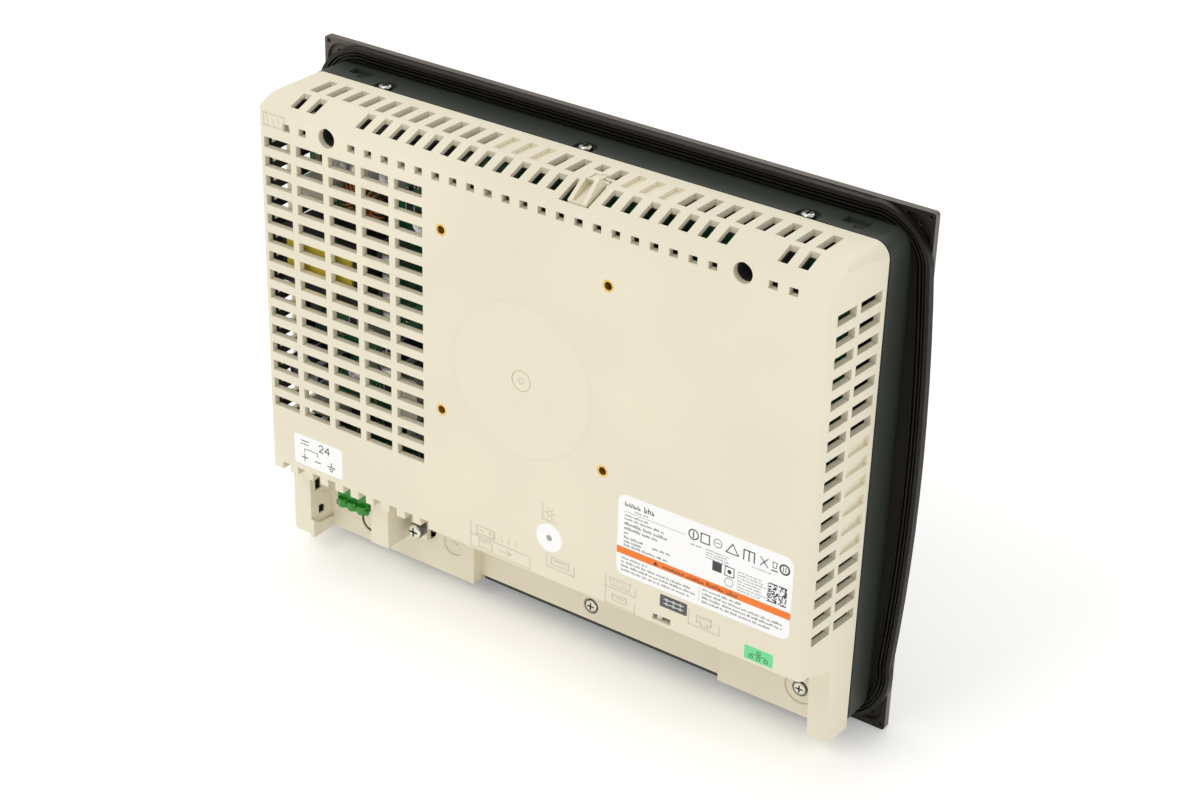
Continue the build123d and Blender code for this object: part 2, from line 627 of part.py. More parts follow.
def hex_post(x, z, top, bore_r):
    post = slab(Pos(x, z) * RegularPolygon(2.9, 6), (CHASSIS_Y[1], top))
    return post - rod_y(x, (CHASSIS_Y[1] + 1, top + 1), z, bore_r)


def board_standoffs():
    return [hex_post(x, z, top, 1.2) for x, z, top in STANDOFF_PLACES]


def cover_posts():
    """Posts that take the screws of the rear cover."""
    high = [hex_post(x, ACCESS_Z, ACCESS_FLOOR_Y - 3, 1.5) for x in (-ACCESS_X, ACCESS_X)]
    return high + [hex_post(x, z, PARTING_Y, 1.5) for x, z, _ in REAR_SCREWS]


def board_screws():
    return [pan_screw(1.2, 2.6, 1.8, 6.0, Pos(x, top + 1.6, z) * REARWARD) for x, z, top in STANDOFF_PLACES]


def board(extent, y, holes):
    x0, x1, z0, z1 = extent
    sheet = block((x0, x1), y, (z0, z1))
    for x, z in holes:
        sheet -= rod_y(x, THROUGH, z, 1.5)
    return sheet


def main_board():
    holes = [(x, z) for x, z, top in STANDOFF_PLACES if top == MAIN_BOARD_Y[0]]
    return board(MAIN_BOARD, MAIN_BOARD_Y, holes)


def power_board():
    holes = [(x, z) for x, z, top in STANDOFF_PLACES if top == POWER_BOARD_Y[0]]
    return board(POWER_BOARD, POWER_BOARD_Y, holes)


def port_board():
    """Small board that carries the ports nearest the rear wall, hung from its link connector."""
    return board(PORT_BOARD, PORT_BOARD_Y, [(-120.0, 92.0), (-34.0, 92.0)])


def board_connectors():
    """Connectors that join the boards: port board to main board, power board, and display cable."""
    stack = block((-100, -60), (MAIN_BOARD_Y[1], PORT_BOARD_Y[0]), (80, 86))
    power = block((36, 42), (MAIN_BOARD_Y[1], 29.0), (118, 142))
    power += block((42, 52), (POWER_BOARD_Y[1], 29.0), (118, 142))
    z = (BEZEL_H / 2 - 16, BEZEL_H / 2 + 12)
    display = block((-12, -4), (MAIN_BOARD_Y[0] - 3.4, MAIN_BOARD_Y[0]), z)
    display -= block((-13, -7.9), (MAIN_BOARD_Y[0] - 2.1, MAIN_BOARD_Y[0] - 1.3), z)
    return [stack, power, display]


def board_chips():
    """Processor, memory and interface chips on the main board."""
    y0 = MAIN_BOARD_Y[1]
    places = [(-30, 120, 27, 27, 2.2), (-66, 130, 14, 20, 1.2), (-66, 106, 14, 20, 1.2), (4, 104, 18, 12, 1.4),
              (8, 150, 22, 14, 1.6), (-98, 118, 14, 14, 1.6), (-98, 148, 18, 12, 1.6),
              (LED_X, LED_Z, 4, 4, 4.4)]
    return [block((x - w / 2, x + w / 2), (y0, y0 + t), (z - h / 2, z + h / 2)) for x, z, w, h, t in places]


def processor_heatsink():
    """Finned block bonded on the processor."""
    y0 = MAIN_BOARD_Y[1] + 2.2
    base = block((-44, -16), (y0, y0 + 2), (106, 134))
    fins = [block((-44 + 4.4 * i, -42.6 + 4.4 * i), (y0 + 2, y0 + 11), (106, 134)) for i in range(7)]
    return union([base] + fins)


def board_shield():
    """Perforated metal screen behind the top vents."""
    sheet = block((-112, 34), (27.0, 27.6), (158, 191))
    holes = [rod_y(-106 + 9.6 * i, (20, 30), z, 2.2) for i in range(15) for z in (166, 175, 184)]
    sheet -= holes
    feet = [block((x - 3, x + 3), (MAIN_BOARD_Y[1], 27.0), (158, 158.6)) for x in (-90, -60, 28)]
    return union([sheet] + feet)


def transformer_core():
    """Ferrite frame around the winding."""
    y0 = POWER_BOARD_Y[1] + 2
    x0, x1 = TRANSFORMER_X
    z0, z1 = TRANSFORMER_Z
    frame = block((x0, x1), (y0, y0 + 17), (z0, z1))
    frame -= block((x0 + 3.2, x1 - 3.2), (y0 - 1, y0 + 18), (z0 + 3, z1 - 3))
    return frame


def transformer_winding():
    """Bobbin wrapped in tape, standing through the core."""
    y0 = POWER_BOARD_Y[1]
    x0, x1 = TRANSFORMER_X
    z0, z1 = TRANSFORMER_Z
    return block((x0 + 3.3, x1 - 3.3), (y0, y0 + 20), (z0 + 3.1, z1 - 3.1))


def bulk_capacitors():
    """Round electrolytic capacitors on the power board, standing towards the rear."""
    y0 = POWER_BOARD_Y[1]
    places = [(70, 184, 5, 16), (84, 183, 5, 16), (98, 182, 4, 12), (60, 78, 5, 14), (112, 92, 8, 20),
              (92, 94, 4, 12), (70, 108, 6.3, 18), (58, 168, 5, 12)]
    return [rod_y(x, (y0, y0 + h), z, r) for x, z, r, h in places]


def film_capacitors():
    """Pale box capacitors on the power board."""
    y0 = POWER_BOARD_Y[1]
    places = [(110, 168, 14, 8, 15), (64, 92, 9, 18, 13), (108, 72, 14, 7, 12), (88, 112, 8, 6, 10)]
    return [block((x - w / 2, x + w / 2), (y0, y0 + h), (z - d / 2, z + d / 2)) for x, z, w, d, h in places]


def choke_coil():
    """Ring core choke wound with copper, lying on the power board."""
    y0 = POWER_BOARD_Y[1]
    ring = Pos(90, y0 + 5.5, 166) * Rot(90, 0, 0) * Torus(7.2, 4.4)
    return ring


def power_heatsink():
    """Folded aluminium strip beside the switching devices."""
    y0 = POWER_BOARD_Y[1]
    wall = block((70, 71.6), (y0, y0 + 18), (126, 160))
    return wall + block((66, 71.6), (y0 + 16.4, y0 + 18), (126, 160))


def small_parts():
    """Moulded transistors, diodes and connectors on the power board."""
    y0 = POWER_BOARD_Y[1]
    places = [(74.2, 134, 4.6, 10, 15), (74.2, 150, 4.6, 10, 15), (104, 118, 12, 5, 8), (114, 116, 6, 4, 9),
              (56, 116, 7, 5, 3), (54, 147.5, 8, 4, 3), (53, 152, 6, 3, 2), (96, 70, 5, 9, 7),
              (76, 70, 9, 6, 8)]
    return [block((x - w / 2, x + w / 2), (y0, y0 + h), (z - d / 2, z + d / 2)) for x, z, w, d, h in places]


def ribbon_cables():
    """Tail of the touch sensor, and the flat cable from the display to the main board."""
    mid = BEZEL_H / 2
    tail = block((-118.2, -117.6), (GLASS_Y[1], MAIN_BOARD_Y[0]), (mid - 7, mid + 7))
    z = (mid - 14, mid + 10)
    run = block((-20, -19.4), (3.1, MAIN_BOARD_Y[0] - 1.4), z)
    return [tail, run + block((-20, -8), (MAIN_BOARD_Y[0] - 2.0, MAIN_BOARD_Y[0] - 1.4), z)]


# ---------------------------------------------------------------- ports

def power_header():
    """Three-pole socket for the supply plug, open downwards, with a round nose over each pole."""
    half = 1.5 * POLE_PITCH + 0.4
    body = block((POWER_X - half, POWER_X + half), (30.4, 39.6), (33.4, 56.0))
    body += block((POWER_X - half, POWER_X + half), (38.8, 40.6), (31.6, 33.6))
    for i in (-1, 0, 1):
        body += rod_z(POWER_X + i * POLE_PITCH, 39.3, (31.6, 35.2), 2.4)
    body -= block((POWER_X - half + 0.9, POWER_X + half - 0.9), (31.4, 38.8), (33.0, 43.5))
    return body - block((POWER_X - half, POWER_X + half), (31.4, 38.8), (30.0, 33.4))


def jack_socket(x):
    """Shielded eight-way socket that opens downwards."""
    body = block((x - 8, x + 8), JACK_Y, (DECK_Z - 0.5, 61.5))
    body -= block((x - 5.9, x + 5.9), (26.6, 34.6), (DECK_Z - 1, 58.0))
    return body - block((x - 1.9, x + 1.9), (34.6, 36.2), (DECK_Z - 1, 53.0))


def usb_shell():
    shell = block((USB_X - 6.6, USB_X + 6.6), (MAIN_BOARD_Y[1], 28.2), (DECK_Z - 0.5, 59.5))
    return shell - block((USB_X - 6.2, USB_X + 6.2), (22.1, 27.8), (DECK_Z - 1, 59.0))


def usb_tongue():
    return block((USB_X - 5.6, USB_X + 5.6), (23.0, 24.9), (DECK_Z + 0.6, 59.0))


def usb_device_port():
    """Small five-way port on the rear side of the port board."""
    y = (PORT_BOARD_Y[1], 42.6)
    shell = block((SERIAL_X - 3.9, SERIAL_X + 3.9), y, (DECK_Z - 0.3, 55.0))
    shell -= block((SERIAL_X - 3.4, SERIAL_X + 3.4), (y[0] + 0.5, y[1] - 0.5), (DECK_Z - 1, 54.0))
    return shell + block((SERIAL_X - 2.4, SERIAL_X + 2.4), (y[0] + 1.4, y[0] + 2.3), (DECK_Z + 1, 54.5))


def serial_flange_outline(grow):
    """Nine-way shell outline in X and Y: a trapezoid with rounded corners."""
    half_w = 8.45 + grow
    half_h = 4.15 + grow
    slant = half_h * 2 * tan(radians(10))
    points = [(-half_w, half_h), (half_w, half_h), (half_w - slant, -half_h), (-half_w + slant, -half_h)]
    face = make_face(Polyline(*points, close=True))
    return fillet(face.vertices(), 1.6 + grow)


def serial_shell():
    """Plated shell and flange of the nine-way port."""
    flange = block((SERIAL_X - 15.4, SERIAL_X + 15.4), (SERIAL_Y - 6.2, SERIAL_Y + 6.2),
                   (DECK_Z - 0.5, DECK_Z + 0.6))
    nose = extrude(Pos(SERIAL_X, SERIAL_Y, 40.2) * serial_flange_outline(0), amount=DECK_Z + 0.6 - 40.2)
    hollow = extrude(Pos(SERIAL_X, SERIAL_Y, 39.0) * serial_flange_outline(-0.5), amount=10)
    shell = flange + nose - hollow
    for s in (-1, 1):
        shell -= rod_z(SERIAL_X + s * JACK_SPACING / 2, SERIAL_Y, (40, 50), 1.6)
    return shell


def serial_insert():
    """Moulded block that holds the pins."""
    core = extrude(Pos(SERIAL_X, SERIAL_Y, 44.6) * serial_flange_outline(-0.55), amount=2.0)
    back = block((SERIAL_X - 10, SERIAL_X + 10), (MAIN_BOARD_Y[1], SERIAL_Y + 5), (DECK_Z + 0.6, 57.0))
    return core + back


def port_contacts():
    """Pins of the supply and serial ports, and spring contacts of both eight-way sockets."""
    group = []
    for i in (-1, 0, 1):
        x = POWER_X + i * POLE_PITCH
        group.append(block((x - 0.5, x + 0.5), (32.6, 33.6), (35.5, 43.5)))
    for x in (FIELDBUS_X, NETWORK_X):
        for i in range(8):
            cx = x + (i - 3.5) * 1.02
            group.append(block((cx - 0.2, cx + 0.2), (26.6, 27.5), (49.0, 58.0)))
    for count, dy in ((5, 1.42), (4, -1.42)):
        for i in range(count):
            x = SERIAL_X + (i - (count - 1) / 2) * 2.77
            group.append(rod_z(x, SERIAL_Y + dy, (40.6, 44.6), 0.5))
    return group


def serial_jack_screws():
    """Two hexagonal posts with threaded ends that take the plug's screws."""
    group = []
    for s in (-1, 1):
        x = SERIAL_X + s * JACK_SPACING / 2
        post = extrude(Pos(x, SERIAL_Y, 40.4) * RegularPolygon(2.7, 6), amount=DECK_Z - 0.5 - 40.4)
        stem = rod_z(x, SERIAL_Y, (DECK_Z - 0.5, 51.0), 1.5)
        group.append(post + stem - rod_z(x, SERIAL_Y, (39, 45.0), JACK_BORE_R))
    return group


def card_socket():
    """Memory card socket behind the flap."""
    body = block((-4.5, 22.5), (MAIN_BOARD_Y[1], 24.8), (52, 80))
    return body - block((-3.2, 21.2), (22.3, 24.3), (51, 78.5))


def battery_holder():
    """Clip that holds the clock battery, behind the flap."""
    tray = block((-3, 21), (24.8, 31.0), (52, 77))
    return tray - rod_y(9, (26.4, 32), 64.5, 10.1) - block((0, 18), (26.4, 32), (50, 64.5))


def backup_battery():
    return rod_y(9, (26.4, 29.6), 64.5, 10.0)


def switch_body():
    """Housing of the line-termination switch on the port board."""
    z = (SWITCH_Z - 1.6, SWITCH_Z + 2.6)
    body = block((-71.0, -61.0), (PORT_BOARD_Y[1], 43.0), z)
    return body - block((-70.2, -61.8), (40.4, 44.0), (z[0] + 0.5, z[1] - 0.9))


def switch_slider():
    """Small lug that slides along the slot in the rear face."""
    z = (SWITCH_Z - 1.0, SWITCH_Z + 1.0)
    base = block((SWITCH_X - 2.4, SWITCH_X + 2.4), (40.5, 42.6), z)
    return base + block((SWITCH_X - 1.1, SWITCH_X + 1.1), (42.6, 49.4), (SWITCH_Z - 0.9, SWITCH_Z + 0.9))


NODES = {
    "front_bezel": front_bezel,
    "front_film": front_film,
    "touch_glass": touch_glass,
    "panel_gasket": panel_gasket,
    "lcd_panel": lcd_panel,
    "backlight_guide": backlight_guide,
    "lcd_frame": lcd_frame,
    "lcd_cushions": lcd_cushions,
    "middle_frame": middle_frame,
    "rear_cover": rear_cover,
    "drop_hook": drop_hook,
    "card_door": card_door,
    "door_pin": door_pin,
    "threaded_inserts": threaded_inserts,
    "top_screws": top_screws,
    "rear_screws": rear_screws,
    "earth_screw": earth_screw,
    "earth_spring_washer": earth_spring_washer,
    "earth_clamp_plate": earth_clamp_plate,
    "earth_bracket": earth_bracket,
    "chassis_plate": chassis_plate,
    "board_standoffs": board_standoffs,
    "cover_posts": cover_posts,
    "board_screws": board_screws,
    "main_board": main_board,
    "power_board": power_board,
    "port_board": port_board,
    "board_connectors": board_connectors,
    "board_chips": board_chips,
    "processor_heatsink": processor_heatsink,
    "board_shield": board_shield,
    "transformer_core": transformer_core,
    "transformer_winding": transformer_winding,
    "bulk_capacitors": bulk_capacitors,
    "film_capacitors": film_capacitors,
    "choke_coil": choke_coil,
    "power_heatsink": power_heatsink,
    "small_parts": small_parts,
    "ribbon_cables": ribbon_cables,
    "power_header": power_header,
    "fieldbus_socket": lambda: jack_socket(FIELDBUS_X),
    "network_socket": lambda: jack_socket(NETWORK_X),
    "usb_shell": usb_shell,
    "usb_tongue": usb_tongue,
    "usb_device_port": usb_device_port,
    "serial_shell": serial_shell,
    "serial_insert": serial_insert,
    "port_contacts": port_contacts,
    "serial_jack_screws": serial_jack_screws,
    "card_socket": card_socket,
    "battery_holder": battery_holder,
    "backup_battery": backup_battery,
    "switch_body": switch_body,
    "switch_slider": switch_slider,
    "led_label": led_label,
    "led_lens": led_lens,
}
for label_name, label_size in LABELS.items():
    NODES[label_name] = lambda size=label_size: label_body(*size)


def main():
    os.makedirs("parts", exist_ok=True)
    for name, make in NODES.items():
        shape = make()
        solids = shape if isinstance(shape, list) else shape.solids()
        moved = [ORIGIN * solid for solid in solids]
        export_step(moved[0] if len(moved) == 1 else Compound(children=moved), f"parts/{name}.step")
        print(name, len(moved), flush=True)


main()
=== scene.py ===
"""Finishes, printed marks, board details and stage of an operator touch panel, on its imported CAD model."""

import math
import random

import bmesh
import bpy
from bpy.props import FloatProperty, FloatVectorProperty, IntProperty, PointerProperty
from bpy.types import Operator, Panel, PropertyGroup
from mathutils import Matrix, Vector


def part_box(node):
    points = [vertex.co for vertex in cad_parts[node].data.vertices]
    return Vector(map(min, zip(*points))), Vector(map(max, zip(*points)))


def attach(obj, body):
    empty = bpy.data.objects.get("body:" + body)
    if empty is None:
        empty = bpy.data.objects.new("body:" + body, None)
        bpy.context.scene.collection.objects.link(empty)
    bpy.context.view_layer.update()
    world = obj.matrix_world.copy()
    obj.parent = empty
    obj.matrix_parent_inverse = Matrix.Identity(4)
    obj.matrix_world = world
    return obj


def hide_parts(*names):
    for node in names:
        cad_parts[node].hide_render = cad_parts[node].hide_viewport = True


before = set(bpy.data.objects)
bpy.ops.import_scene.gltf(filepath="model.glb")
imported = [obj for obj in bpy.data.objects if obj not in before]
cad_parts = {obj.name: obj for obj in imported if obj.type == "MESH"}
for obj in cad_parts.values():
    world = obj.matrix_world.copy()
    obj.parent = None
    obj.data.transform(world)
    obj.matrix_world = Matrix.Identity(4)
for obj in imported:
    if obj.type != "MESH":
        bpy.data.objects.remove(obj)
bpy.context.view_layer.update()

bl_info = {
    "name": "Operator touch panel",
    "version": (1, 0, 0),
    "blender": (4, 5, 0),
    "location": "View3D > Sidebar > Touch panel",
    "description": "Finishes and small details of a panel-mounted operator touch screen",
    "category": "Add Mesh",
}

MM = 0.001
BODY = "panel"
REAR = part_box("rear_cover")[1].y / MM
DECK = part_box("network_socket")[0].z / MM + 0.5
RELIEF = 0.12
PRINT = 0.02
LINE = 0.38  # width of a raised line
MARK_Z = 126.5  # height of the round mark's middle
ROW_SHIFT = 22.0  # the seat's plane lies this far in front of the frame's middle
LEAD_PITCH = 1.27
SMALL_CAN_R = 4.2
PALE_CAN_Z = 180
END_CAP = 0.35
PARTS_SEED = 11


# ------------------------------------------------------------------ shader maths

class Wire:
    """A value in a finish. Arithmetic on it adds Math nodes, with numbers or other wires."""

    def __init__(self, finish, socket):
        self.finish = finish
        self.socket = socket

    def math(self, operation, *values):
        return self.finish.node("ShaderNodeMath", {"operation": operation}, dict(enumerate(values)))

    def sine(self):
        return self.math("SINE", self)

    def __add__(self, other):
        return self.math("ADD", self, other)

    def __radd__(self, other):
        return self.math("ADD", other, self)

    def __sub__(self, other):
        return self.math("SUBTRACT", self, other)

    def __rsub__(self, other):
        return self.math("SUBTRACT", other, self)

    def __mul__(self, other):
        return self.math("MULTIPLY", self, other)

    def __rmul__(self, other):
        return self.math("MULTIPLY", other, self)

    def __truediv__(self, other):
        return self.math("DIVIDE", self, other)

    def __pow__(self, other):
        return self.math("POWER", self, other)

    def __mod__(self, other):
        return self.math("FLOORED_MODULO", self, other)

    def __abs__(self):
        return self.math("ABSOLUTE", self)

    def __gt__(self, other):
        return self.math("GREATER_THAN", self, other)

    def __lt__(self, other):
        return self.math("LESS_THAN", self, other)

    def __and__(self, other):
        return self.math("MINIMUM", self, other)

    def __or__(self, other):
        return self.math("MAXIMUM", self, other)


class Finish:
    """One material being made: its nodes, its shader and the object's coordinates in millimetres."""

    def __init__(self, name, **constants):
        self.material = bpy.data.materials.new(name)
        self.material.use_nodes = True
        self.tree = self.material.node_tree
        self.shader = self.tree.nodes["Principled BSDF"]
        for socket, value in constants.items():
            self.shader.inputs[socket.replace("_", " ")].default_value = value
        where = self.node("ShaderNodeTexCoord", output="Object")
        self.at = self.node("ShaderNodeVectorMath", {"operation": "SCALE"}, {0: where, "Scale": 1000.0})
        split = self.node("ShaderNodeSeparateXYZ", None, {0: self.at})
        outputs = split.socket.node.outputs
        self.x, self.y, self.z = (Wire(self, outputs[axis]) for axis in "XYZ")
        outputs = self.node("ShaderNodeSeparateXYZ", None, {
            0: self.node("ShaderNodeNewGeometry", output="Normal")}).socket.node.outputs
        self.facing_x, self.facing_y, self.facing_z = (Wire(self, outputs[axis]) for axis in "XYZ")

    def node(self, kind, settings=None, sockets=None, output=0):
        """Adds a node: its settings first, then the numbers or wires of its sockets."""
        made = self.tree.nodes.new(kind)
        for key, value in (settings or {}).items():
            setattr(made, key, value)
        for key, value in (sockets or {}).items():
            socket = made.inputs[key]
            if isinstance(value, Wire):
                self.tree.links.new(value.socket, socket)
            else:
                socket.default_value = tuple(value)[:3] + (1.0,) if socket.type == "RGBA" else value
        return Wire(self, made.outputs[output])

    def noise(self, scale, detail=3.0, roughness=0.55, stretch=(1, 1, 1)):
        """Noise whose scale is in cycles per millimetre."""
        where = self.node("ShaderNodeVectorMath", {"operation": "MULTIPLY"}, {0: self.at, 1: stretch})
        return self.node("ShaderNodeTexNoise", None,
                         {"Vector": where, "Scale": scale, "Detail": detail, "Roughness": roughness})

    def blend(self, factor, first, second):
        """Mixes two colours, given as tuples or wires, by a factor."""
        return self.node("ShaderNodeMix", {"data_type": "RGBA"}, {0: factor, 6: first, 7: second}, output=2)

    def step(self, value, low, high):
        """0 below low, 1 above high and smooth between."""
        return self.node("ShaderNodeMapRange", {"interpolation_type": "SMOOTHSTEP"},
                         {"Value": value, "From Min": low, "From Max": high})

    def colour(self, value):
        self.feed("Base Color", value)

    def roughness(self, value):
        self.feed("Roughness", value)

    def metallic(self, value):
        self.feed("Metallic", value)

    def bump(self, height, depth, strength=1.0):
        """Relief whose depth is in millimetres."""
        normal = self.node("ShaderNodeBump", None,
                           {"Height": height, "Distance": depth * MM, "Strength": strength})
        self.feed("Normal", normal)

    def feed(self, socket, value):
        if isinstance(value, Wire):
            self.tree.links.new(value.socket, self.shader.inputs[socket])
        else:
            if hasattr(value, "__len__"):
                value = tuple(value)[:3] + (1.0,)
            self.shader.inputs[socket].default_value = value


def shade(colour, factor):
    return tuple(min(1.0, c * factor) for c in tuple(colour)[:3])


def paint(finish, *nodes):
    """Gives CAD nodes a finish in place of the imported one."""
    for name in nodes:
        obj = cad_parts[name]
        obj.data.materials.clear()
        obj.data.materials.append(finish.material)


# ------------------------------------------------------------------ meshes

class Piece:
    """Gathers small solids, in millimetres of the row's frame, into one mesh object."""

    def __init__(self, name, finishes, slot, body=BODY):
        self.name = name
        self.finishes = finishes
        self.slot = slot
        self.body = body
        self.mesh = bmesh.new()

    def faces(self, points, faces, finish=0, smooth=False):
        verts = [self.mesh.verts.new(Vector(p) * MM) for p in points]
        for corners in faces:
            face = self.mesh.faces.new([verts[i] for i in corners])
            face.material_index = finish
            face.smooth = smooth

    def box(self, low, high, finish=0):
        (x0, y0, z0), (x1, y1, z1) = low, high
        points = [(x, y, z) for x in (x0, x1) for y in (y0, y1) for z in (z0, z1)]
        sides = [(0, 1, 3, 2), (4, 6, 7, 5), (0, 4, 5, 1), (2, 3, 7, 6), (0, 2, 6, 4), (1, 5, 7, 3)]
        self.faces(points, sides, finish)

    def flat(self, outline, height, y=REAR, finish=0):
        """Low prism on a rear face, from an outline in X and Z that is convex."""
        area = sum(a[0] * b[1] - b[0] * a[1] for a, b in zip(outline, outline[1:] + outline[:1]))
        if area > 0:
            outline = outline[::-1]
        n = len(outline)
        points = [(x, y, z) for x, z in outline] + [(x, y + height, z) for x, z in outline]
        faces = [tuple(range(n, 2 * n))]
        faces += [(i, (i + 1) % n, n + (i + 1) % n, n + i) for i in range(n)]
        self.faces(points, faces, finish)

    def stroke(self, points, width, height, y=REAR, finish=0, closed=False):
        """Raised or printed line through points in X and Z."""
        line = list(points) + ([points[0]] if closed else [])
        for (x0, z0), (x1, z1) in zip(line, line[1:]):
            length = math.hypot(x1 - x0, z1 - z0)
            ux, uz = (x1 - x0) / length * width / 2, (z1 - z0) / length * width / 2
            self.flat([(x0 - ux - uz, z0 - uz + ux), (x1 + ux - uz, z1 + uz + ux),
                       (x1 + ux + uz, z1 + uz - ux), (x0 - ux + uz, z0 - uz - ux)], height, y, finish)

    def ring(self, x, z, r, width, height, y=REAR, finish=0, steps=36, part=1.0):
        """Circle or arc drawn as a line."""
        outer, inner = r + width / 2, r - width / 2
        turns = [2 * math.pi * part * i / steps for i in range(steps + 1)]
        for a, b in zip(turns, turns[1:]):
            self.flat([(x + q * math.cos(t), z + q * math.sin(t))
                       for q, t in ((outer, a), (outer, b), (inner, b), (inner, a))], height, y, finish)

    def disc(self, x, z, r, height, y=REAR, finish=0, steps=24):
        self.flat([(x + r * math.cos(2 * math.pi * i / steps), z + r * math.sin(2 * math.pi * i / steps))
                   for i in range(steps)], height, y, finish)

    def turned(self, x, z, profile, steps=32):
        """Solid of revolution about a line along Y, from (radius, y, finish) points."""
        rows = [[(x + r * math.cos(2 * math.pi * i / steps), y, z + r * math.sin(2 * math.pi * i / steps))
                 for i in range(steps)] for r, y, _ in profile]
        points = [p for row in rows for p in row]
        for k in range(len(rows) - 1):
            quads = [(k * steps + i, (k + 1) * steps + i, (k + 1) * steps + (i + 1) % steps,
                      k * steps + (i + 1) % steps) for i in range(steps)]
            used = sorted({i for quad in quads for i in quad})
            place = {old: new for new, old in enumerate(used)}
            self.faces([points[i] for i in used], [tuple(place[i] for i in quad) for quad in quads],
                       profile[k + 1][2], smooth=True)

    def tube(self, path, radius, sides=8, finish=0, closed=False):
        """Round wire along a path of points."""
        path = [Vector(p) for p in path]
        n = len(path)
        points, faces = [], []
        for i, p in enumerate(path):
            ahead = path[(i + 1) % n] if closed or i < n - 1 else p
            behind = path[i - 1] if closed or i else p
            along = (ahead - behind).normalized()
            side = along.cross(Vector((0, 1, 0)) if abs(along.y) < 0.9 else Vector((1, 0, 0))).normalized()
            over = along.cross(side)
            for k in range(sides):
                turn = 2 * math.pi * k / sides
                points.append(p + radius * (side * math.cos(turn) + over * math.sin(turn)))
        for i in range(n if closed else n - 1):
            for k in range(sides):
                a, b = i * sides, ((i + 1) % n) * sides
                faces.append((a + k, b + k, b + (k + 1) % sides, a + (k + 1) % sides))
        if not closed:
            faces += [tuple(range(sides)), tuple(range((n - 1) * sides, n * sides))[::-1]]
        self.faces(points, faces, finish, smooth=True)

    def finish(self, bevel=0.0, replaces=()):
        """Turns what was gathered into an object that rides on its body."""
        bmesh.ops.remove_doubles(self.mesh, verts=self.mesh.verts, dist=1e-7)
        bmesh.ops.recalc_face_normals(self.mesh, faces=self.mesh.faces)
        data = bpy.data.meshes.new(self.name)
        self.mesh.to_mesh(data)
        self.mesh.free()
        for finish in self.finishes:
            data.materials.append(finish.material)
        obj = bpy.data.objects.new(self.name, data)
        bpy.context.scene.collection.objects.link(obj)
        if bevel:
            rounded = obj.modifiers.new("edges", "BEVEL")
            rounded.width = bevel * MM
            rounded.segments = 2
            rounded.limit_method = "ANGLE"
        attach(obj, self.body)
        if replaces:
            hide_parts(*replaces)
        return obj


def solids(node):
    """Boxes, in millimetres, of the separate solids in a CAD node."""
    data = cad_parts[node].data
    keys, parent = {}, {}

    def root(i):
        while parent[i] != i:
            parent[i] = parent[parent[i]]
            i = parent[i]
        return i

    index = []
    for vert in data.vertices:
        key = tuple(round(c * 1e6) for c in vert.co)
        index.append(keys.setdefault(key, len(keys)))
    for i in range(len(keys)):
        parent[i] = i
    for face in data.polygons:
        first = root(index[face.vertices[0]])
        for v in face.vertices[1:]:
            parent[root(index[v])] = first
            first = root(first)
    groups = {}
    for vert, i in zip(data.vertices, index):
        groups.setdefault(root(i), []).append(vert.co / MM)
    return [(Vector(map(min, *group)), Vector(map(max, *group))) for group in groups.values()]


def box_mm(node):
    low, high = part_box(node)
    return low / MM, high / MM


# ------------------------------------------------------------------ settings

class MouldingSettings(PropertyGroup):
    cover: FloatVectorProperty(name="Cover", description="Pale plastic of the rear cover", subtype="COLOR",
                               size=3, min=0, max=1, default=(0.835, 0.775, 0.615))
    # Painted shade: the dark colour given to the cover's inner faces, to the pocket in its left leg and to a ring
    # recess, where shade falls
    inner_shade: FloatVectorProperty(name="Shielding", description="Dark shielding coat inside the cover",
                                 subtype="COLOR", size=3, min=0, max=1, default=(0.045, 0.045, 0.045))
    skirt: FloatVectorProperty(name="Frame", description="Dark plastic of the frame behind the bezel",
                               subtype="COLOR", size=3, min=0, max=1, default=(0.036, 0.043, 0.033))
    bezel: FloatVectorProperty(name="Bezel", description="Plastic of the front bezel", subtype="COLOR",
                               size=3, min=0, max=1, default=(0.016, 0.0145, 0.012))
    # Painted highlight: the lighter colour of the bezel's lit outer edges, also mixed a little into its front
    rim_highlight: FloatVectorProperty(name="Rim", description="Lighter outer edge and front of the bezel",
                             subtype="COLOR", size=3, min=0, max=1, default=(0.150, 0.130, 0.108))
    seal: FloatVectorProperty(name="Seal", description="Rubber of the panel seal", subtype="COLOR",
                              size=3, min=0, max=1, default=(0.022, 0.0185, 0.0145))
    grain: FloatProperty(name="Grain", description="Depth of the moulded surface grain, in millimetres",
                         min=0, max=0.2, default=0.03)


class PrintSettings(PropertyGroup):
    ink: FloatVectorProperty(name="Ink", description="Dark print of the labels", subtype="COLOR",
                             size=3, min=0, max=1, default=(0.045, 0.045, 0.05))
    band: FloatVectorProperty(name="Band", description="Colour of the band across the rating label",
                              subtype="COLOR", size=3, min=0, max=1, default=(0.93, 0.20, 0.01))
    network: FloatVectorProperty(name="Network label", description="Colour of the network port's label",
                                 subtype="COLOR", size=3, min=0, max=1, default=(0.16, 0.72, 0.30))
    seed: IntProperty(name="Pattern", description="Seed of the print's pattern", min=0, default=7)


class BoardSettings(PropertyGroup):
    mask: FloatVectorProperty(name="Board", description="Solder mask of the circuit boards", subtype="COLOR",
                              size=3, min=0, max=1, default=(0.010, 0.115, 0.040))
    chips: IntProperty(name="Small parts", description="How many small parts are tried on each board",
                       min=0, max=2000, default=420)
    turns: IntProperty(name="Turns", description="Turns of wire on the choke", min=8, max=60, default=26)


class StageSettings(PropertyGroup):
    floor: FloatVectorProperty(name="Floor", description="Colour of the floor", subtype="COLOR",
                               size=3, min=0, max=1, default=(0.96, 0.96, 0.955))
    key: FloatProperty(name="Key light", description="Power of the largest lamp", subtype="POWER",
                       unit="POWER", min=0, default=8.8)
    sky: FloatProperty(name="Sky", description="Strength of the even light all round", min=0, default=0.60)
    lens: FloatProperty(name="Lens", description="Focal length of the camera, in millimetres", min=10,
                        default=72.82)


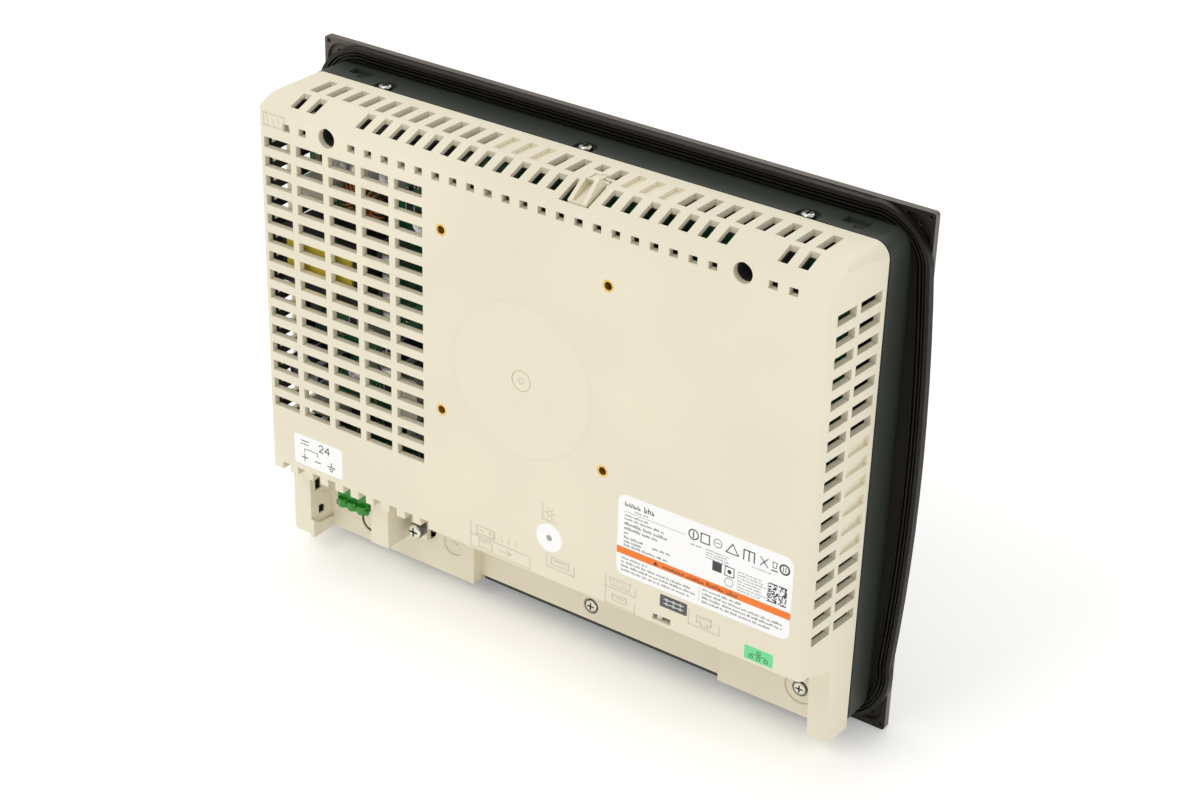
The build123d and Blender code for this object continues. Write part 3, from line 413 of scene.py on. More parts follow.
# ------------------------------------------------------------------ finishes

def moulded(name, colour, grain, coarse=2.2, roughness=0.5, change=0.05, gloss=0.5):
    """Plastic with a fine eroded grain, slight clouding and faint handling marks."""
    finish = Finish(name, IOR=1.5, Specular_IOR_Level=gloss)
    cloud = finish.noise(0.018, 2.0)
    speck = finish.noise(coarse, 4.0, 0.7)
    fine = finish.noise(coarse * 3, 2.0)
    base = finish.blend(finish.step(cloud, 0.35, 0.68), shade(colour, 1 - change), shade(colour, 1 + change / 2))
    finish.colour(finish.blend(finish.step(speck, 0.42, 0.75) * 0.35, base, shade(colour, 1 - 2.2 * change)))
    rub = finish.noise(0.11, 3.0, 0.6, (1, 1, 0.35))
    finish.roughness(roughness + (speck - 0.5) * 0.10 + (rub - 0.5) * 0.10)
    finish.bump(speck * 0.7 + fine * 0.3, grain, 0.55)
    return finish


def plated(name, colour, roughness=0.22, brushed=(1, 1, 1), along=None):
    """Bright plate with faint passivation colour and rubbed spots, darker on faces that run along an axis: painted
    shade for head sides and recess walls.
    """
    finish = Finish(name, Metallic=1.0)
    spots = finish.noise(0.9, 4.0, 0.6, brushed)
    tint = finish.noise(0.35, 2.0)
    base = finish.blend(finish.step(tint, 0.35, 0.7), colour, (colour[0] * 0.97, colour[1] * 0.93, colour[2] * 0.80))
    base = finish.blend(finish.step(spots, 0.55, 0.8) * 0.5, base, shade(colour, 0.72))
    # Painted shade: faces that run along the given axis are darkened to 0.22 of the plate colour
    if along:
        facing = abs(getattr(finish, "facing_" + along))
        base = finish.blend(1 - finish.step(facing, 0.35, 0.8), base, shade(colour, 0.22))
    finish.colour(base)
    finish.roughness(roughness + (spots - 0.5) * 0.25)
    finish.bump(spots, 0.012, 0.5)
    return finish


def speckled(name, first, second, noise, roughness, change, depth, strength, **constants):
    """Finish whose colour, roughness and relief all follow one noise."""
    finish = Finish(name, **constants)
    grit = finish.noise(*noise)
    finish.colour(finish.blend(grit, first, second))
    finish.roughness(roughness + grit * change)
    finish.bump(grit, depth, strength)
    return finish


class PANEL_OT_cover(Operator):
    """Pale moulded plastic of the cover, the hook and the card door"""
    bl_idname = "panel.cover"
    bl_label = "Cover"

    def execute(self, context):
        s = context.scene.panel_moulding
        low, high = box_mm("rear_cover")
        finish = Finish("cover_plastic", IOR=1.5)
        cloud = finish.noise(0.012, 2.0)
        speck = finish.noise(2.2, 4.0, 0.7)
        fine = finish.noise(7.0, 2.0)
        base = finish.blend(finish.step(cloud, 0.35, 0.65), shade(s.cover, 0.965), shade(s.cover, 1.02))
        radius = ((finish.x ** 2) + ((finish.z - MARK_Z) ** 2)) ** 0.5
        on_rear = finish.step(finish.facing_y, 0.8, 0.95)
        blush = (1 - finish.step(radius, 27.0, 33.0)) * on_rear
        edge = (finish.step(radius, 31.0, 31.8) - finish.step(radius, 31.8, 33.0)) * on_rear
        base = finish.blend(blush * 0.25, base, shade(s.cover, 1.06))
        base = finish.blend(edge * 0.22, base, shade(s.cover, 0.86))
        base = finish.blend(finish.step(speck, 0.45, 0.78) * 0.30, base, shade(s.cover, 0.88))
        slope = (finish.y - 38.5 + ROW_SHIFT) * 0.38
        depth = (high.y - finish.y) & (high.z - finish.z) & (high.z - slope - finish.z)
        depth = depth & (high.x - (finish.y - low.y) * 0.0643 - abs(finish.x))
        # Painted shade: faces above the deck that lie more than 2.5 mm in from the cover's outer faces take the dark
        # inner shade colour
        inner_shade_mask = finish.step(depth, 2.5, 2.7) * finish.step(finish.z, DECK + 2.4, DECK + 2.6)
        # Painted shade: the pocket on the left leg and the ring recess at X 96.5, Z 17 take the dark inner shade
        # colour
        foot = (finish.x - 119.2) & (125.3 - finish.x) & (12.3 - finish.y) & (finish.y - 5.9)
        foot = foot & (finish.z - 14.0) & (35.0 - finish.z)
        groove = (1.4 - abs(((finish.x - 96.5) ** 2 + (finish.z - 17.0) ** 2) ** 0.5 - 4.8)) & (1.75 - finish.y)
        shaded = finish.step(foot, 0.0, 0.1) | (finish.step(groove, 0.0, 0.2) * 0.7)
        finish.colour(finish.blend(inner_shade_mask | shaded, base, s.inner_shade))
        rub = finish.noise(0.11, 3.0, 0.6, (1, 1, 0.35))
        finish.roughness(0.50 + (speck - 0.5) * 0.12 + (rub - 0.5) * 0.10 - blush * 0.05)
        finish.bump(speck * 0.7 + fine * 0.3, s.grain, 0.6)
        paint(finish, "rear_cover", "drop_hook", "card_door")
        return {"FINISHED"}


class PANEL_OT_front(Operator):
    """Dark moulded frame and bezel, and the rubber seal between them"""
    bl_idname = "panel.front"
    bl_label = "Frame, bezel and seal"

    def execute(self, context):
        s = context.scene.panel_moulding
        paint(moulded("frame_plastic", s.skirt, s.grain * 2.0, 1.3, 0.48, 0.10, 0.4), "middle_frame")

        bezel = Finish("bezel_plastic", IOR=1.5, Specular_IOR_Level=0.25)
        speck = bezel.noise(2.0, 4.0, 0.7)
        cloud = bezel.noise(0.02, 2.0)
        # Painted highlight: every bezel face that does not face rearwards takes the lighter rim colour, as if lit
        outer = 1 - bezel.step(bezel.facing_y, 0.3, 0.7)
        behind = bezel.blend(bezel.step(cloud, 0.35, 0.7), shade(s.bezel, 0.9), shade(s.bezel, 1.12))
        # Painted highlight: the bezel's rear face turns toward the rim colour toward +X and +Z, where light falls on
        # it
        painted_highlight = bezel.step(bezel.x * 0.5 + bezel.z, 215.0, 275.0)
        behind = bezel.blend(painted_highlight * 0.8, behind, s.rim_highlight)
        front = bezel.blend(bezel.step(cloud, 0.35, 0.7), shade(s.rim_highlight, 0.93), shade(s.rim_highlight, 1.05))
        base = bezel.blend(outer, behind, front)
        base = bezel.blend(bezel.step(0 - bezel.facing_y, 0.3, 0.7) * 0.75, base, shade(s.bezel, 2.0))
        bezel.colour(bezel.blend(bezel.step(speck, 0.45, 0.8) * 0.4, base, shade(s.bezel, 0.7)))
        bezel.roughness(0.46 + (speck - 0.5) * 0.14)
        bezel.bump(speck, s.grain * 1.4, 0.6)
        paint(bezel, "front_bezel")

        outside = box_mm("panel_gasket")[1].y
        seal = Finish("seal_rubber", IOR=1.52, Specular_IOR_Level=0.2)
        dust = seal.noise(0.12, 5.0, 0.7, (1, 1, 0.3))
        pores = seal.noise(3.5, 3.0)
        # Painted shade: the seal below its outermost face, in its grooves and lips, is darkened to 0.38
        band = seal.step(seal.y, outside - 0.5, outside - 0.1)
        base = seal.blend(band, shade(s.seal, 0.38), s.seal)
        seal.colour(seal.blend(seal.step(dust, 0.52, 0.8) * 0.25, base, shade(s.seal, 2.4)))
        seal.roughness(0.47 + (dust - 0.5) * 0.22)
        seal.bump(pores * 0.5 + dust, 0.03, 0.5)
        paint(seal, "panel_gasket")

        foam = Finish("cushion_foam", IOR=1.45, Roughness=0.95)
        cells = foam.node("ShaderNodeTexVoronoi", None, {"Vector": foam.at, "Scale": 1.6})
        foam.colour(foam.blend(cells, (0.05, 0.05, 0.05), (0.015, 0.015, 0.015)))
        foam.bump(cells, 0.15, 0.7)
        paint(foam, "lcd_cushions")
        return {"FINISHED"}


class PANEL_OT_screen(Operator):
    """Coated touch film, glass, display cell and light guide"""
    bl_idname = "panel.screen"
    bl_label = "Screen"

    def execute(self, context):
        low, high = box_mm("front_film")
        film = Finish("touch_film", IOR=1.5, Coat_Roughness=0.04)
        inset = (abs(film.x) - (high.x - 4.0)) | (abs(film.z - (low.z + high.z) / 2) - ((high.z - low.z) / 2 - 4.0))
        border = film.step(inset, -0.12, 0.12)
        haze = film.noise(0.02, 2.0)
        smear = film.noise(0.05, 4.0, 0.6, (1, 1, 0.5))
        cell = film.blend(film.step(haze, 0.3, 0.7), (0.013, 0.016, 0.018), (0.015, 0.018, 0.020))
        film.colour(film.blend(border, cell, (0.008, 0.008, 0.009)))
        film.roughness(0.17 + film.step(smear, 0.5, 0.8) * 0.10)
        film.feed("Coat Weight", 0.35 - film.step(smear, 0.5, 0.8) * 0.15)
        film.bump(film.noise(9.0, 2.0), 0.004, 0.5)
        paint(film, "front_film")

        paint(speckled("sensor_glass", (0.10, 0.13, 0.12), (0.14, 0.17, 0.16), (0.05, 2.0), 0.06, 0.05, 0.01, 0.4,
                       IOR=1.52, Transmission_Weight=0.35), "touch_glass")

        cell = Finish("display_cell", IOR=1.5)
        lines = cell.step(abs((cell.x / 0.9) % 1.0 - 0.5), 0.42, 0.5)
        cell.colour(cell.blend(lines, (0.016, 0.017, 0.020), (0.004, 0.004, 0.005)))
        cell.roughness(0.2 + cell.noise(0.3) * 0.1)
        cell.bump(lines, 0.01, 0.3)
        paint(cell, "lcd_panel")

        guide = Finish("light_guide", IOR=1.49)
        dots = guide.node("ShaderNodeTexVoronoi", None, {"Vector": guide.at, "Scale": 0.5, "Randomness": 0.0})
        guide.colour(guide.blend(guide.step(dots, 0.3, 0.4), (0.85, 0.86, 0.88), (0.62, 0.64, 0.66)))
        guide.roughness(0.25 + dots * 0.2)
        guide.bump(dots, 0.05, 0.5)
        paint(guide, "backlight_guide")
        return {"FINISHED"}


class PANEL_OT_metal(Operator):
    """Screws, inserts, spring steel, sheet steel and plated shells"""
    bl_idname = "panel.metal"
    bl_label = "Metal parts"

    def execute(self, context):
        zinc = (0.74, 0.74, 0.71)
        paint(plated("zinc_plate", zinc, 0.20), "earth_clamp_plate", "door_pin", "board_standoffs", "cover_posts")
        # The two screw finishes are one zinc, differing only in which faces get painted shade
        paint(plated("zinc_screw", zinc, 0.20, along="y"), "rear_screws", "board_screws", "earth_screw",
              "earth_spring_washer")
        paint(plated("zinc_top_screw", zinc, 0.20, along="z"), "top_screws")
        paint(plated("nickel_plate", (0.78, 0.77, 0.74), 0.26), "usb_shell", "usb_device_port", "serial_shell",
              "serial_jack_screws")
        paint(plated("contact_gold", (0.95, 0.72, 0.30), 0.18), "port_contacts")
        steel = plated("sheet_steel", (0.66, 0.66, 0.64), 0.34, (0.06, 1, 1))
        paint(steel, "lcd_frame", "chassis_plate", "earth_bracket", "board_shield", "backup_battery")
        paint(plated("extruded_aluminium", (0.62, 0.64, 0.67), 0.36, (1, 1, 0.05)), "processor_heatsink",
              "power_heatsink")

        low, high = box_mm("threaded_inserts")
        brass = Finish("turned_brass", Metallic=1.0)
        half_x, half_z = (high.x - low.x) / 2 - 2.4, (high.z - low.z) / 2 - 2.4
        local_x = abs(brass.x) - half_x
        local_z = abs(brass.z - (low.z + high.z) / 2) - half_z
        radius = (local_x ** 2 + local_z ** 2) ** 0.5
        turn = local_z.math("ARCTAN2", local_z, local_x)
        teeth = brass.step((turn * 16.0).sine(), -0.1, 0.5)
        knurl = teeth * brass.step(radius, 1.95, 2.1)
        thread = brass.step((brass.y * (2 * math.pi / 0.7)).sine(), -0.6, 0.6)
        bore = 1 - brass.step(radius, 1.70, 1.76)
        tone = brass.blend(brass.noise(0.8), (0.98, 0.70, 0.22), (0.86, 0.55, 0.14))
        # Painted shade: the knurl's grooves and the thread lines in the bore are darkened to a deep brown
        tone = brass.blend(knurl * 0.7, tone, (0.30, 0.17, 0.04))
        brass.colour(brass.blend(bore * thread * 0.4, tone, (0.34, 0.18, 0.04)))
        brass.roughness(0.24 + knurl * 0.2 + brass.noise(1.5) * 0.08)
        brass.bump(knurl * -0.6 - bore * thread, 0.12, 0.7)
        paint(brass, "threaded_inserts")
        return {"FINISHED"}


class PANEL_OT_relief(Operator):
    """Raised frames and pictograms beside the ports"""
    bl_idname = "panel.relief"
    bl_label = "Raised marks"

    def execute(self, context):
        s = context.scene.panel_moulding
        # Painted shade: the raised marks are the cover colour darkened to 0.82, for the shade along their small edges
        finish = moulded("relief_plastic", shade(s.cover, 0.82), s.grain * 0.5, 2.2, 0.5, 0.03)
        marks = Piece("raised_marks", [finish], "cover_plastic")

        def corner(x_left, x_right, top, bottom, tail=0.0):
            """L-shaped frame: a post on the left as seen from behind, a line below, and a short right post."""
            marks.stroke([(x_left, top), (x_left, bottom), (x_right, bottom)], LINE, RELIEF)
            if tail:
                marks.stroke([(x_right, bottom), (x_right, bottom + tail)], LINE, RELIEF)

        door_low, door_high = box_mm("card_door")
        left, right = door_high.x + 2.3, door_low.x - 2.4
        corner(left, right, DECK + 12.1, DECK + 6.3)
        corner(left, right, DECK + 6.3, DECK + 0.9, 4.4)
        x, z = left - 3.0, DECK + 9.2
        marks.stroke([(x, z - 1.7), (x - 8, z - 1.7), (x - 8, z + 1.7), (x, z + 1.7)], LINE, RELIEF, closed=True)
        marks.stroke([(x - 8.7, z - 0.8), (x - 8.7, z + 0.8)], LINE * 1.6, RELIEF)
        marks.stroke([(x - 1.6, z), (x - 3.4, z)], LINE, RELIEF)
        marks.stroke([(x - 5.4, z), (x - 7.2, z)], LINE, RELIEF)
        marks.stroke([(x - 6.3, z - 0.9), (x - 6.3, z + 0.9)], LINE, RELIEF)
        for i in range(3):
            marks.stroke([(x - 12 - 3.4 * i, z - 1.2), (x - 12 - 3.4 * i, z + 1.2)], LINE, RELIEF)
        x, z = left - 4.0, DECK + 3.6
        card = [(x, z - 1.7), (x - 6.4, z - 1.7), (x - 6.4, z + 0.7), (x - 5.4, z + 1.7), (x, z + 1.7)]
        marks.stroke(card, LINE, RELIEF, closed=True)
        for i in range(4):
            marks.stroke([(x - 1.2 - 1.1 * i, z + 0.3), (x - 1.2 - 1.1 * i, z + 1.1)], LINE, RELIEF)
        marks.stroke([(x - 9.5, z), (x - 15.5, z)], LINE, RELIEF)
        marks.stroke([(x - 13.7, z - 1.2), (x - 15.5, z), (x - 13.7, z + 1.2)], LINE, RELIEF)

        lamp_low, lamp_high = box_mm("led_label")
        mid_x, top = (lamp_low.x + lamp_high.x) / 2, lamp_high.z
        corner(mid_x + 3.2, mid_x - 3.4, top + 8.3, top + 1.5)
        marks.ring(mid_x - 0.2, top + 4.8, 1.1, LINE, RELIEF)
        for i in range(6):
            c, d = math.cos(math.pi * i / 3), math.sin(math.pi * i / 3)
            marks.stroke([(mid_x - 0.2 + 1.8 * c, top + 4.8 + 1.8 * d),
                          (mid_x - 0.2 + 2.6 * c, top + 4.8 + 2.6 * d)], LINE * 0.8, RELIEF)

        x = box_mm("usb_shell")[1].x + 0.2
        corner(x, x - 12.8, DECK + 11.2, DECK + 5.5, 4.0)
        marks.stroke([(x - 2.2, DECK + 7.2), (x - 10.2, DECK + 7.2), (x - 10.2, DECK + 10.2), (x - 2.2, DECK + 10.2)],
                     LINE, RELIEF, closed=True)
        marks.stroke([(x - 3.6, DECK + 9.1), (x - 8.8, DECK + 9.1)], LINE * 1.8, RELIEF)

        serial_low, serial_high = box_mm("serial_shell")
        mid = (serial_low.x + serial_high.x) / 2
        x = mid + 6.4
        corner(x, x - 13.4, DECK + 13.0, DECK + 7.6, 3.8)
        corner(x, x - 13.4, DECK + 6.5, DECK + 0.5, 3.8)
        z = DECK + 10.4
        marks.stroke([(x - 1.8, z + 1.6), (x - 11.4, z + 1.6), (x - 10.6, z - 1.5), (x - 2.6, z - 1.5)],
                     LINE, RELIEF, closed=True)
        for i in range(5):
            marks.disc(x - 3.6 - 1.5 * i, z + 0.6, 0.3, RELIEF, steps=10)
        for i in range(4):
            marks.disc(x - 4.35 - 1.5 * i, z - 0.5, 0.3, RELIEF, steps=10)
        z = DECK + 3.6
        port = [(x - 3.2, z + 1.3), (x - 9.6, z + 1.3), (x - 9.6, z - 0.2), (x - 8.6, z - 1.3), (x - 4.2, z - 1.3),
                (x - 3.2, z - 0.2)]
        marks.stroke(port, LINE, RELIEF, closed=True)
        marks.stroke([(x - 4.8, z + 0.3), (x - 8.0, z + 0.3)], LINE, RELIEF)

        x = box_mm("serial_label")[0].x - 0.8
        corner(x, x - 13.3, DECK + 12.1, DECK + 5.9, 4.2)
        z = DECK + 9.0
        jack = [(x - 3.6, z + 1.8), (x - 9.8, z + 1.8), (x - 9.8, z - 0.8), (x - 8.2, z - 0.8), (x - 8.2, z - 1.9),
                (x - 5.2, z - 1.9), (x - 5.2, z - 0.8), (x - 3.6, z - 0.8)]
        marks.stroke(jack, LINE, RELIEF, closed=True)
        for i in range(4):
            marks.stroke([(x - 4.9 - 1.2 * i, z + 0.5), (x - 4.9 - 1.2 * i, z + 1.5)], LINE * 0.8, RELIEF)

        high = box_mm("rear_cover")[1]
        x, z = high.x - 5.4, high.z - 11.0
        plaque = [(x, z), (x - 10.2, z), (x - 10.2, z + 4.8), (x, z + 4.8)]
        marks.stroke(plaque, LINE, RELIEF, closed=True)
        for i in range(3):
            marks.stroke([(x - 2.4 - 2.7 * i, z + 1.2), (x - 1.3 - 2.7 * i, z + 3.6)], LINE, RELIEF)

        marks.ring(0, MARK_Z, 1.2, LINE, RELIEF)
        marks.finish(bevel=0.05)
        return {"FINISHED"}


class PANEL_OT_labels(Operator):
    """Stickers and their generic print"""
    bl_idname = "panel.labels"
    bl_label = "Labels"

    def execute(self, context):
        s = context.scene.panel_print
        paint(self.sticker("label_white", (0.97, 0.97, 0.975)), "power_label", "rating_label", "led_label")
        paint(self.sticker("label_dark", (0.085, 0.085, 0.09)), "serial_label")
        paint(self.sticker("label_green", s.network), "network_label")
        paint(speckled("lamp_lens", (0.30, 0.32, 0.31), (0.42, 0.43, 0.42), (0.9, 2.0), 0.22, 0.1, 0.02, 0.4,
                       IOR=1.5), "led_lens")
        self.ink = self.printed("print_ink", s.ink)
        self.grey = self.printed("print_grey", shade(s.ink, 5.0))
        self.band = self.printed("print_band", s.band)
        self.white = self.printed("print_white", (0.85, 0.85, 0.85))
        self.rating(random.Random(s.seed))
        self.power()
        self.ports()
        return {"FINISHED"}

    def sticker(self, name, colour):
        """Smooth film with faint waviness."""
        finish = Finish(name, IOR=1.47)
        wave = finish.noise(0.06, 2.0)
        fibre = finish.noise(2.5, 3.0)
        finish.colour(finish.blend(finish.step(fibre, 0.4, 0.8) * 0.25, colour, shade(colour, 0.92)))
        finish.roughness(0.34 + fibre * 0.10)
        finish.bump(wave + fibre * 0.05, 0.06, 0.4)
        return finish

    def printed(self, name, colour):
        """Thermal print that is a little uneven."""
        finish = Finish(name, IOR=1.45)
        uneven = finish.noise(3.0, 3.0)
        faded = tuple(0.75 * c + 0.10 for c in tuple(colour)[:3])
        finish.colour(finish.blend(finish.step(uneven, 0.45, 0.8) * 0.4, colour, faded))
        finish.roughness(0.42 + uneven * 0.1)
        finish.bump(uneven, 0.01, 0.3)
        return finish

    def words(self, piece, left, top, length, height, rng, finish=0):
        """A line of small dashes that stand for print but hold no letters."""
        x = left
        while left - x < length - height:
            count = rng.randint(2, 8)
            for _ in range(count):
                wide = height * rng.uniform(0.42, 0.62)
                tall = height * rng.choice((0.68, 0.68, 1.0))
                if left - x + wide > length:
                    break
                low, line = top - height, height * 0.17
                for x0, x1, z0, z1 in ((0, line, 0, tall), (wide - line, wide, 0, tall * rng.choice((0.6, 1.0))),
                                       (0, wide, *rng.choice(((0, line), (tall / 2, tall / 2 + line))))):
                    piece.flat([(x - x0, low + z0), (x - x1, low + z0), (x - x1, low + z1), (x - x0, low + z1)],
                               PRINT, finish=finish)
                x -= wide + height * 0.2
            x -= height * 0.55

    def rating(self, rng):
        low, high = box_mm("rating_label")
        left, right, top = high.x, low.x, high.z
        piece = Piece("rating_print", [self.ink, self.grey, self.band], "white_label")

        def line(width, *points, finish=0, closed=False):
            """A printed line through points given right and down from the sticker's upper corner."""
            piece.stroke([(left - x, top - z) for x, z in points], width, PRINT, finish=finish, closed=closed)

        self.words(piece, left - 3.0, top - 2.2, 13.0, 2.3, rng)
        self.words(piece, left - 7.4, top - 5.4, 6.0, 0.8, rng, 1)
        line(0.16, (3.0, 7.0), (29.5, 7.0), finish=1)
        lines = [(7.9, 10.5, 0.8), (9.3, 17.5, 1.0), (11.2, 19.0, 1.35), (13.3, 15.5, 1.25), (15.3, 3.2, 1.2),
                 (17.3, 8.5, 1.1), (19.1, 8.0, 1.0), (20.6, 19.5, 1.0)]
        for down, length, height in lines:
            self.words(piece, left - 3.0, top - down, length, height, rng)
        self.words(piece, left - 15.5, top - 17.6, 8.0, 1.0, rng)
        piece.ring(left - 33.0, top - 5.6, 2.0, 0.5, PRINT)
        line(0.5, (33.0, 4.4), (33.0, 6.8))
        line(0.45, (36.2, 3.7), (39.8, 3.7), (39.8, 7.5), (36.2, 7.5), closed=True)
        piece.ring(left - 43.4, top - 5.4, 1.7, 0.35, PRINT, finish=1)
        line(0.35, (42.5, 5.4), (44.3, 5.4), finish=1)
        line(0.42, (47.0, 7.4), (52.2, 7.4), (49.6, 3.4), closed=True)
        for i in range(3):
            x = left - 54.4 - 2.2 * i
            piece.stroke([(x, top - 3.6), (x, top - 7.6)], 0.5, PRINT)
        line(0.45, (54.4, 3.6), (58.8, 3.6))
        line(0.5, (61.4, 3.9), (64.4, 7.3), finish=1)
        line(0.5, (64.4, 3.9), (61.4, 7.3), finish=1)
        line(0.3, (66.4, 4.2), (68.2, 4.2), (67.9, 6.4), (66.7, 6.4), closed=True)
        line(0.5, (66.2, 7.6), (68.4, 7.6))
        piece.ring(left - 71.4, top - 5.6, 1.9, 0.7, PRINT)
        for offset in (-0.5, 0.5):
            piece.stroke([(left - 71.4 + offset, top - 4.7), (left - 71.4 + offset, top - 6.5)], 0.35, PRINT)
        for i in range(4):
            self.words(piece, left - 38.5, top - 9.3 - 1.1 * i, 10.0, 0.6, rng, 1)
        self.words(piece, left - 32.0, top - 9.3, 4.6, 0.8, rng)
        self.words(piece, left - 58.0, top - 9.0, 8.0, 0.6, rng, 1)
        piece.flat([(left - 41.6, top - 13.2), (left - 45.6, top - 13.2), (left - 45.6, top - 17.2),
                    (left - 41.6, top - 17.2)], PRINT)
        line(0.35, (47.0, 13.4), (50.8, 13.4), (50.8, 17.2), (47.0, 17.2), closed=True)
        piece.disc(left - 48.9, top - 15.3, 0.9, PRINT, steps=12)
        hexagon = [(left - 48.9 + 1.9 * math.cos(math.pi * i / 3), top - 19.7 + 1.9 * math.sin(math.pi * i / 3))
                   for i in range(6)]
        piece.stroke(hexagon, 0.25, PRINT, finish=1, closed=True)
        for i in range(7):
            self.words(piece, left - 52.4, top - 13.4 - 1.25 * i, 10.0 + (i % 3), 0.65, rng, 1)
        cell = 0.5
        for row in range(16):
            for col in range(16):
                if row in (0, 15) and col % 2 or col in (0, 15) and row % 2 or rng.random() < 0.48:
                    x, z = left - 65.0 - cell * col, top - 13.0 - cell * row
                    piece.flat([(x, z), (x - cell, z), (x - cell, z - cell), (x, z - cell)], PRINT)
        piece.flat([(left, top - 22.5), (right, top - 22.5), (right, top - 25.5), (left, top - 25.5)], PRINT * 0.6,
                   finish=2)
        piece.flat([(left - 16.2, top - 24.9), (left - 18.4, top - 24.9), (left - 17.3, top - 23.1)], PRINT)
        self.words(piece, left - 20.5, top - 23.2, 34.0, 1.7, rng)
        for i, length in enumerate((12.0, 32.0, 33.0, 31.0)):
            self.words(piece, left - 2.2, top - 26.4 - 1.75 * i, length, 0.95, rng)
        for i, length in enumerate((17.0, 34.0, 34.5, 30.0)):
            self.words(piece, left - 38.0, top - 26.4 - 1.75 * i, length, 0.95, rng)
        line(0.12, (36.6, 26.6), (36.6, 32.4), finish=1)
        piece.finish()

    def power(self):
        high = box_mm("power_label")[1]
        left, top = high.x, high.z
        piece = Piece("power_print", [self.ink], "white_label")
        width = 0.42
        x, z = left - 5.4, top - 3.1
        piece.stroke([(x + 1.6, z + 0.7), (x - 2.0, z + 0.7)], width, PRINT)
        for i in range(3):
            piece.stroke([(x + 1.6 - 1.4 * i, z - 0.7), (x + 0.9 - 1.4 * i, z - 0.7)], width, PRINT)
        x = left - 13.2
        piece.stroke([(x, z + 0.9), (x - 0.6, z + 1.5), (x - 1.5, z + 1.5), (x - 2.0, z + 0.8), (x - 1.9, z + 0.2),
                      (x, z - 1.6), (x - 2.1, z - 1.6)], width, PRINT)
        x -= 3.1
        piece.stroke([(x - 1.7, z - 1.6), (x - 1.7, z + 1.5), (x, z - 0.6), (x - 2.4, z - 0.6)], width, PRINT)
        pole = [left - 5.4, left - 12.3, left - 19.4]
        piece.stroke([(pole[0], top - 7.6), (pole[0], top - 6.0), (pole[1], top - 6.0), (pole[1], top - 7.6)], 0.3,
                     PRINT)
        z = top - 10.0
        piece.stroke([(pole[0] + 1.5, z), (pole[0] - 1.5, z)], width, PRINT)
        piece.stroke([(pole[0], z + 1.5), (pole[0], z - 1.5)], width, PRINT)
        piece.stroke([(pole[1] + 1.4, z), (pole[1] - 1.4, z)], width, PRINT)
        piece.stroke([(pole[2], z + 2.0), (pole[2], z + 0.2)], width, PRINT)
        for i, half in enumerate((1.9, 1.2, 0.5)):
            piece.stroke([(pole[2] + half, z + 0.2 - 0.95 * i), (pole[2] - half, z + 0.2 - 0.95 * i)], width, PRINT)
        piece.finish()

    def ports(self):
        low, high = box_mm("network_label")
        x, z = (low.x + high.x) / 2, (low.z + high.z) / 2
        piece = Piece("network_print", [self.ink], "green_label")
        for dx, dz in ((0, 1.2), (-3.2, -1.3), (0, -1.3), (3.2, -1.3)):
            piece.stroke([(x + dx - 0.7, z + dz - 0.5), (x + dx + 0.7, z + dz - 0.5), (x + dx + 0.7, z + dz + 0.5),
                          (x + dx - 0.7, z + dz + 0.5)], 0.25, PRINT, closed=True)
        piece.stroke([(x - 3.2, z - 0.7), (x - 3.2, z), (x + 3.2, z), (x + 3.2, z - 0.7)], 0.22, PRINT)
        piece.stroke([(x, z + 0.7), (x, z - 0.7)], 0.22, PRINT)
        piece.finish()
        low, high = box_mm("serial_label")
        x, z = (low.x + high.x) / 2, (low.z + high.z) / 2
        piece = Piece("serial_print", [self.white], "dark_label")
        for dz in (-0.9, 0.9):
            piece.stroke([(x + 4.2, z + dz), (x - 4.2, z + dz)], 0.34, PRINT)
        for dx in (-3.0, 0.0, 3.0):
            piece.disc(x + dx, z + 0.9, 0.62, PRINT, steps=14)
            piece.disc(x + dx, z - 0.9, 0.62, PRINT, steps=14)
        piece.finish()


class PANEL_OT_ports(Operator):
    """Socket mouldings, the supply header, switch and battery holder"""
    bl_idname = "panel.ports"
    bl_label = "Ports"

    def execute(self, context):
        black = moulded("black_moulding", (0.022, 0.022, 0.024), 0.01, 3.0, 0.40, 0.10)
        paint(black, "usb_tongue", "serial_insert", "battery_holder", "card_socket", "switch_body",
              "board_connectors")
        shell = moulded("socket_moulding", (0.035, 0.035, 0.037), 0.01, 3.0, 0.36, 0.10)
        paint(shell, "fieldbus_socket", "network_socket")
        paint(moulded("terminal_green", (0.020, 0.25, 0.018), 0.008, 2.0, 0.30, 0.10), "power_header")
        paint(moulded("switch_knob", (0.80, 0.79, 0.72), 0.006, 3.0, 0.42, 0.03), "switch_slider")
        return {"FINISHED"}


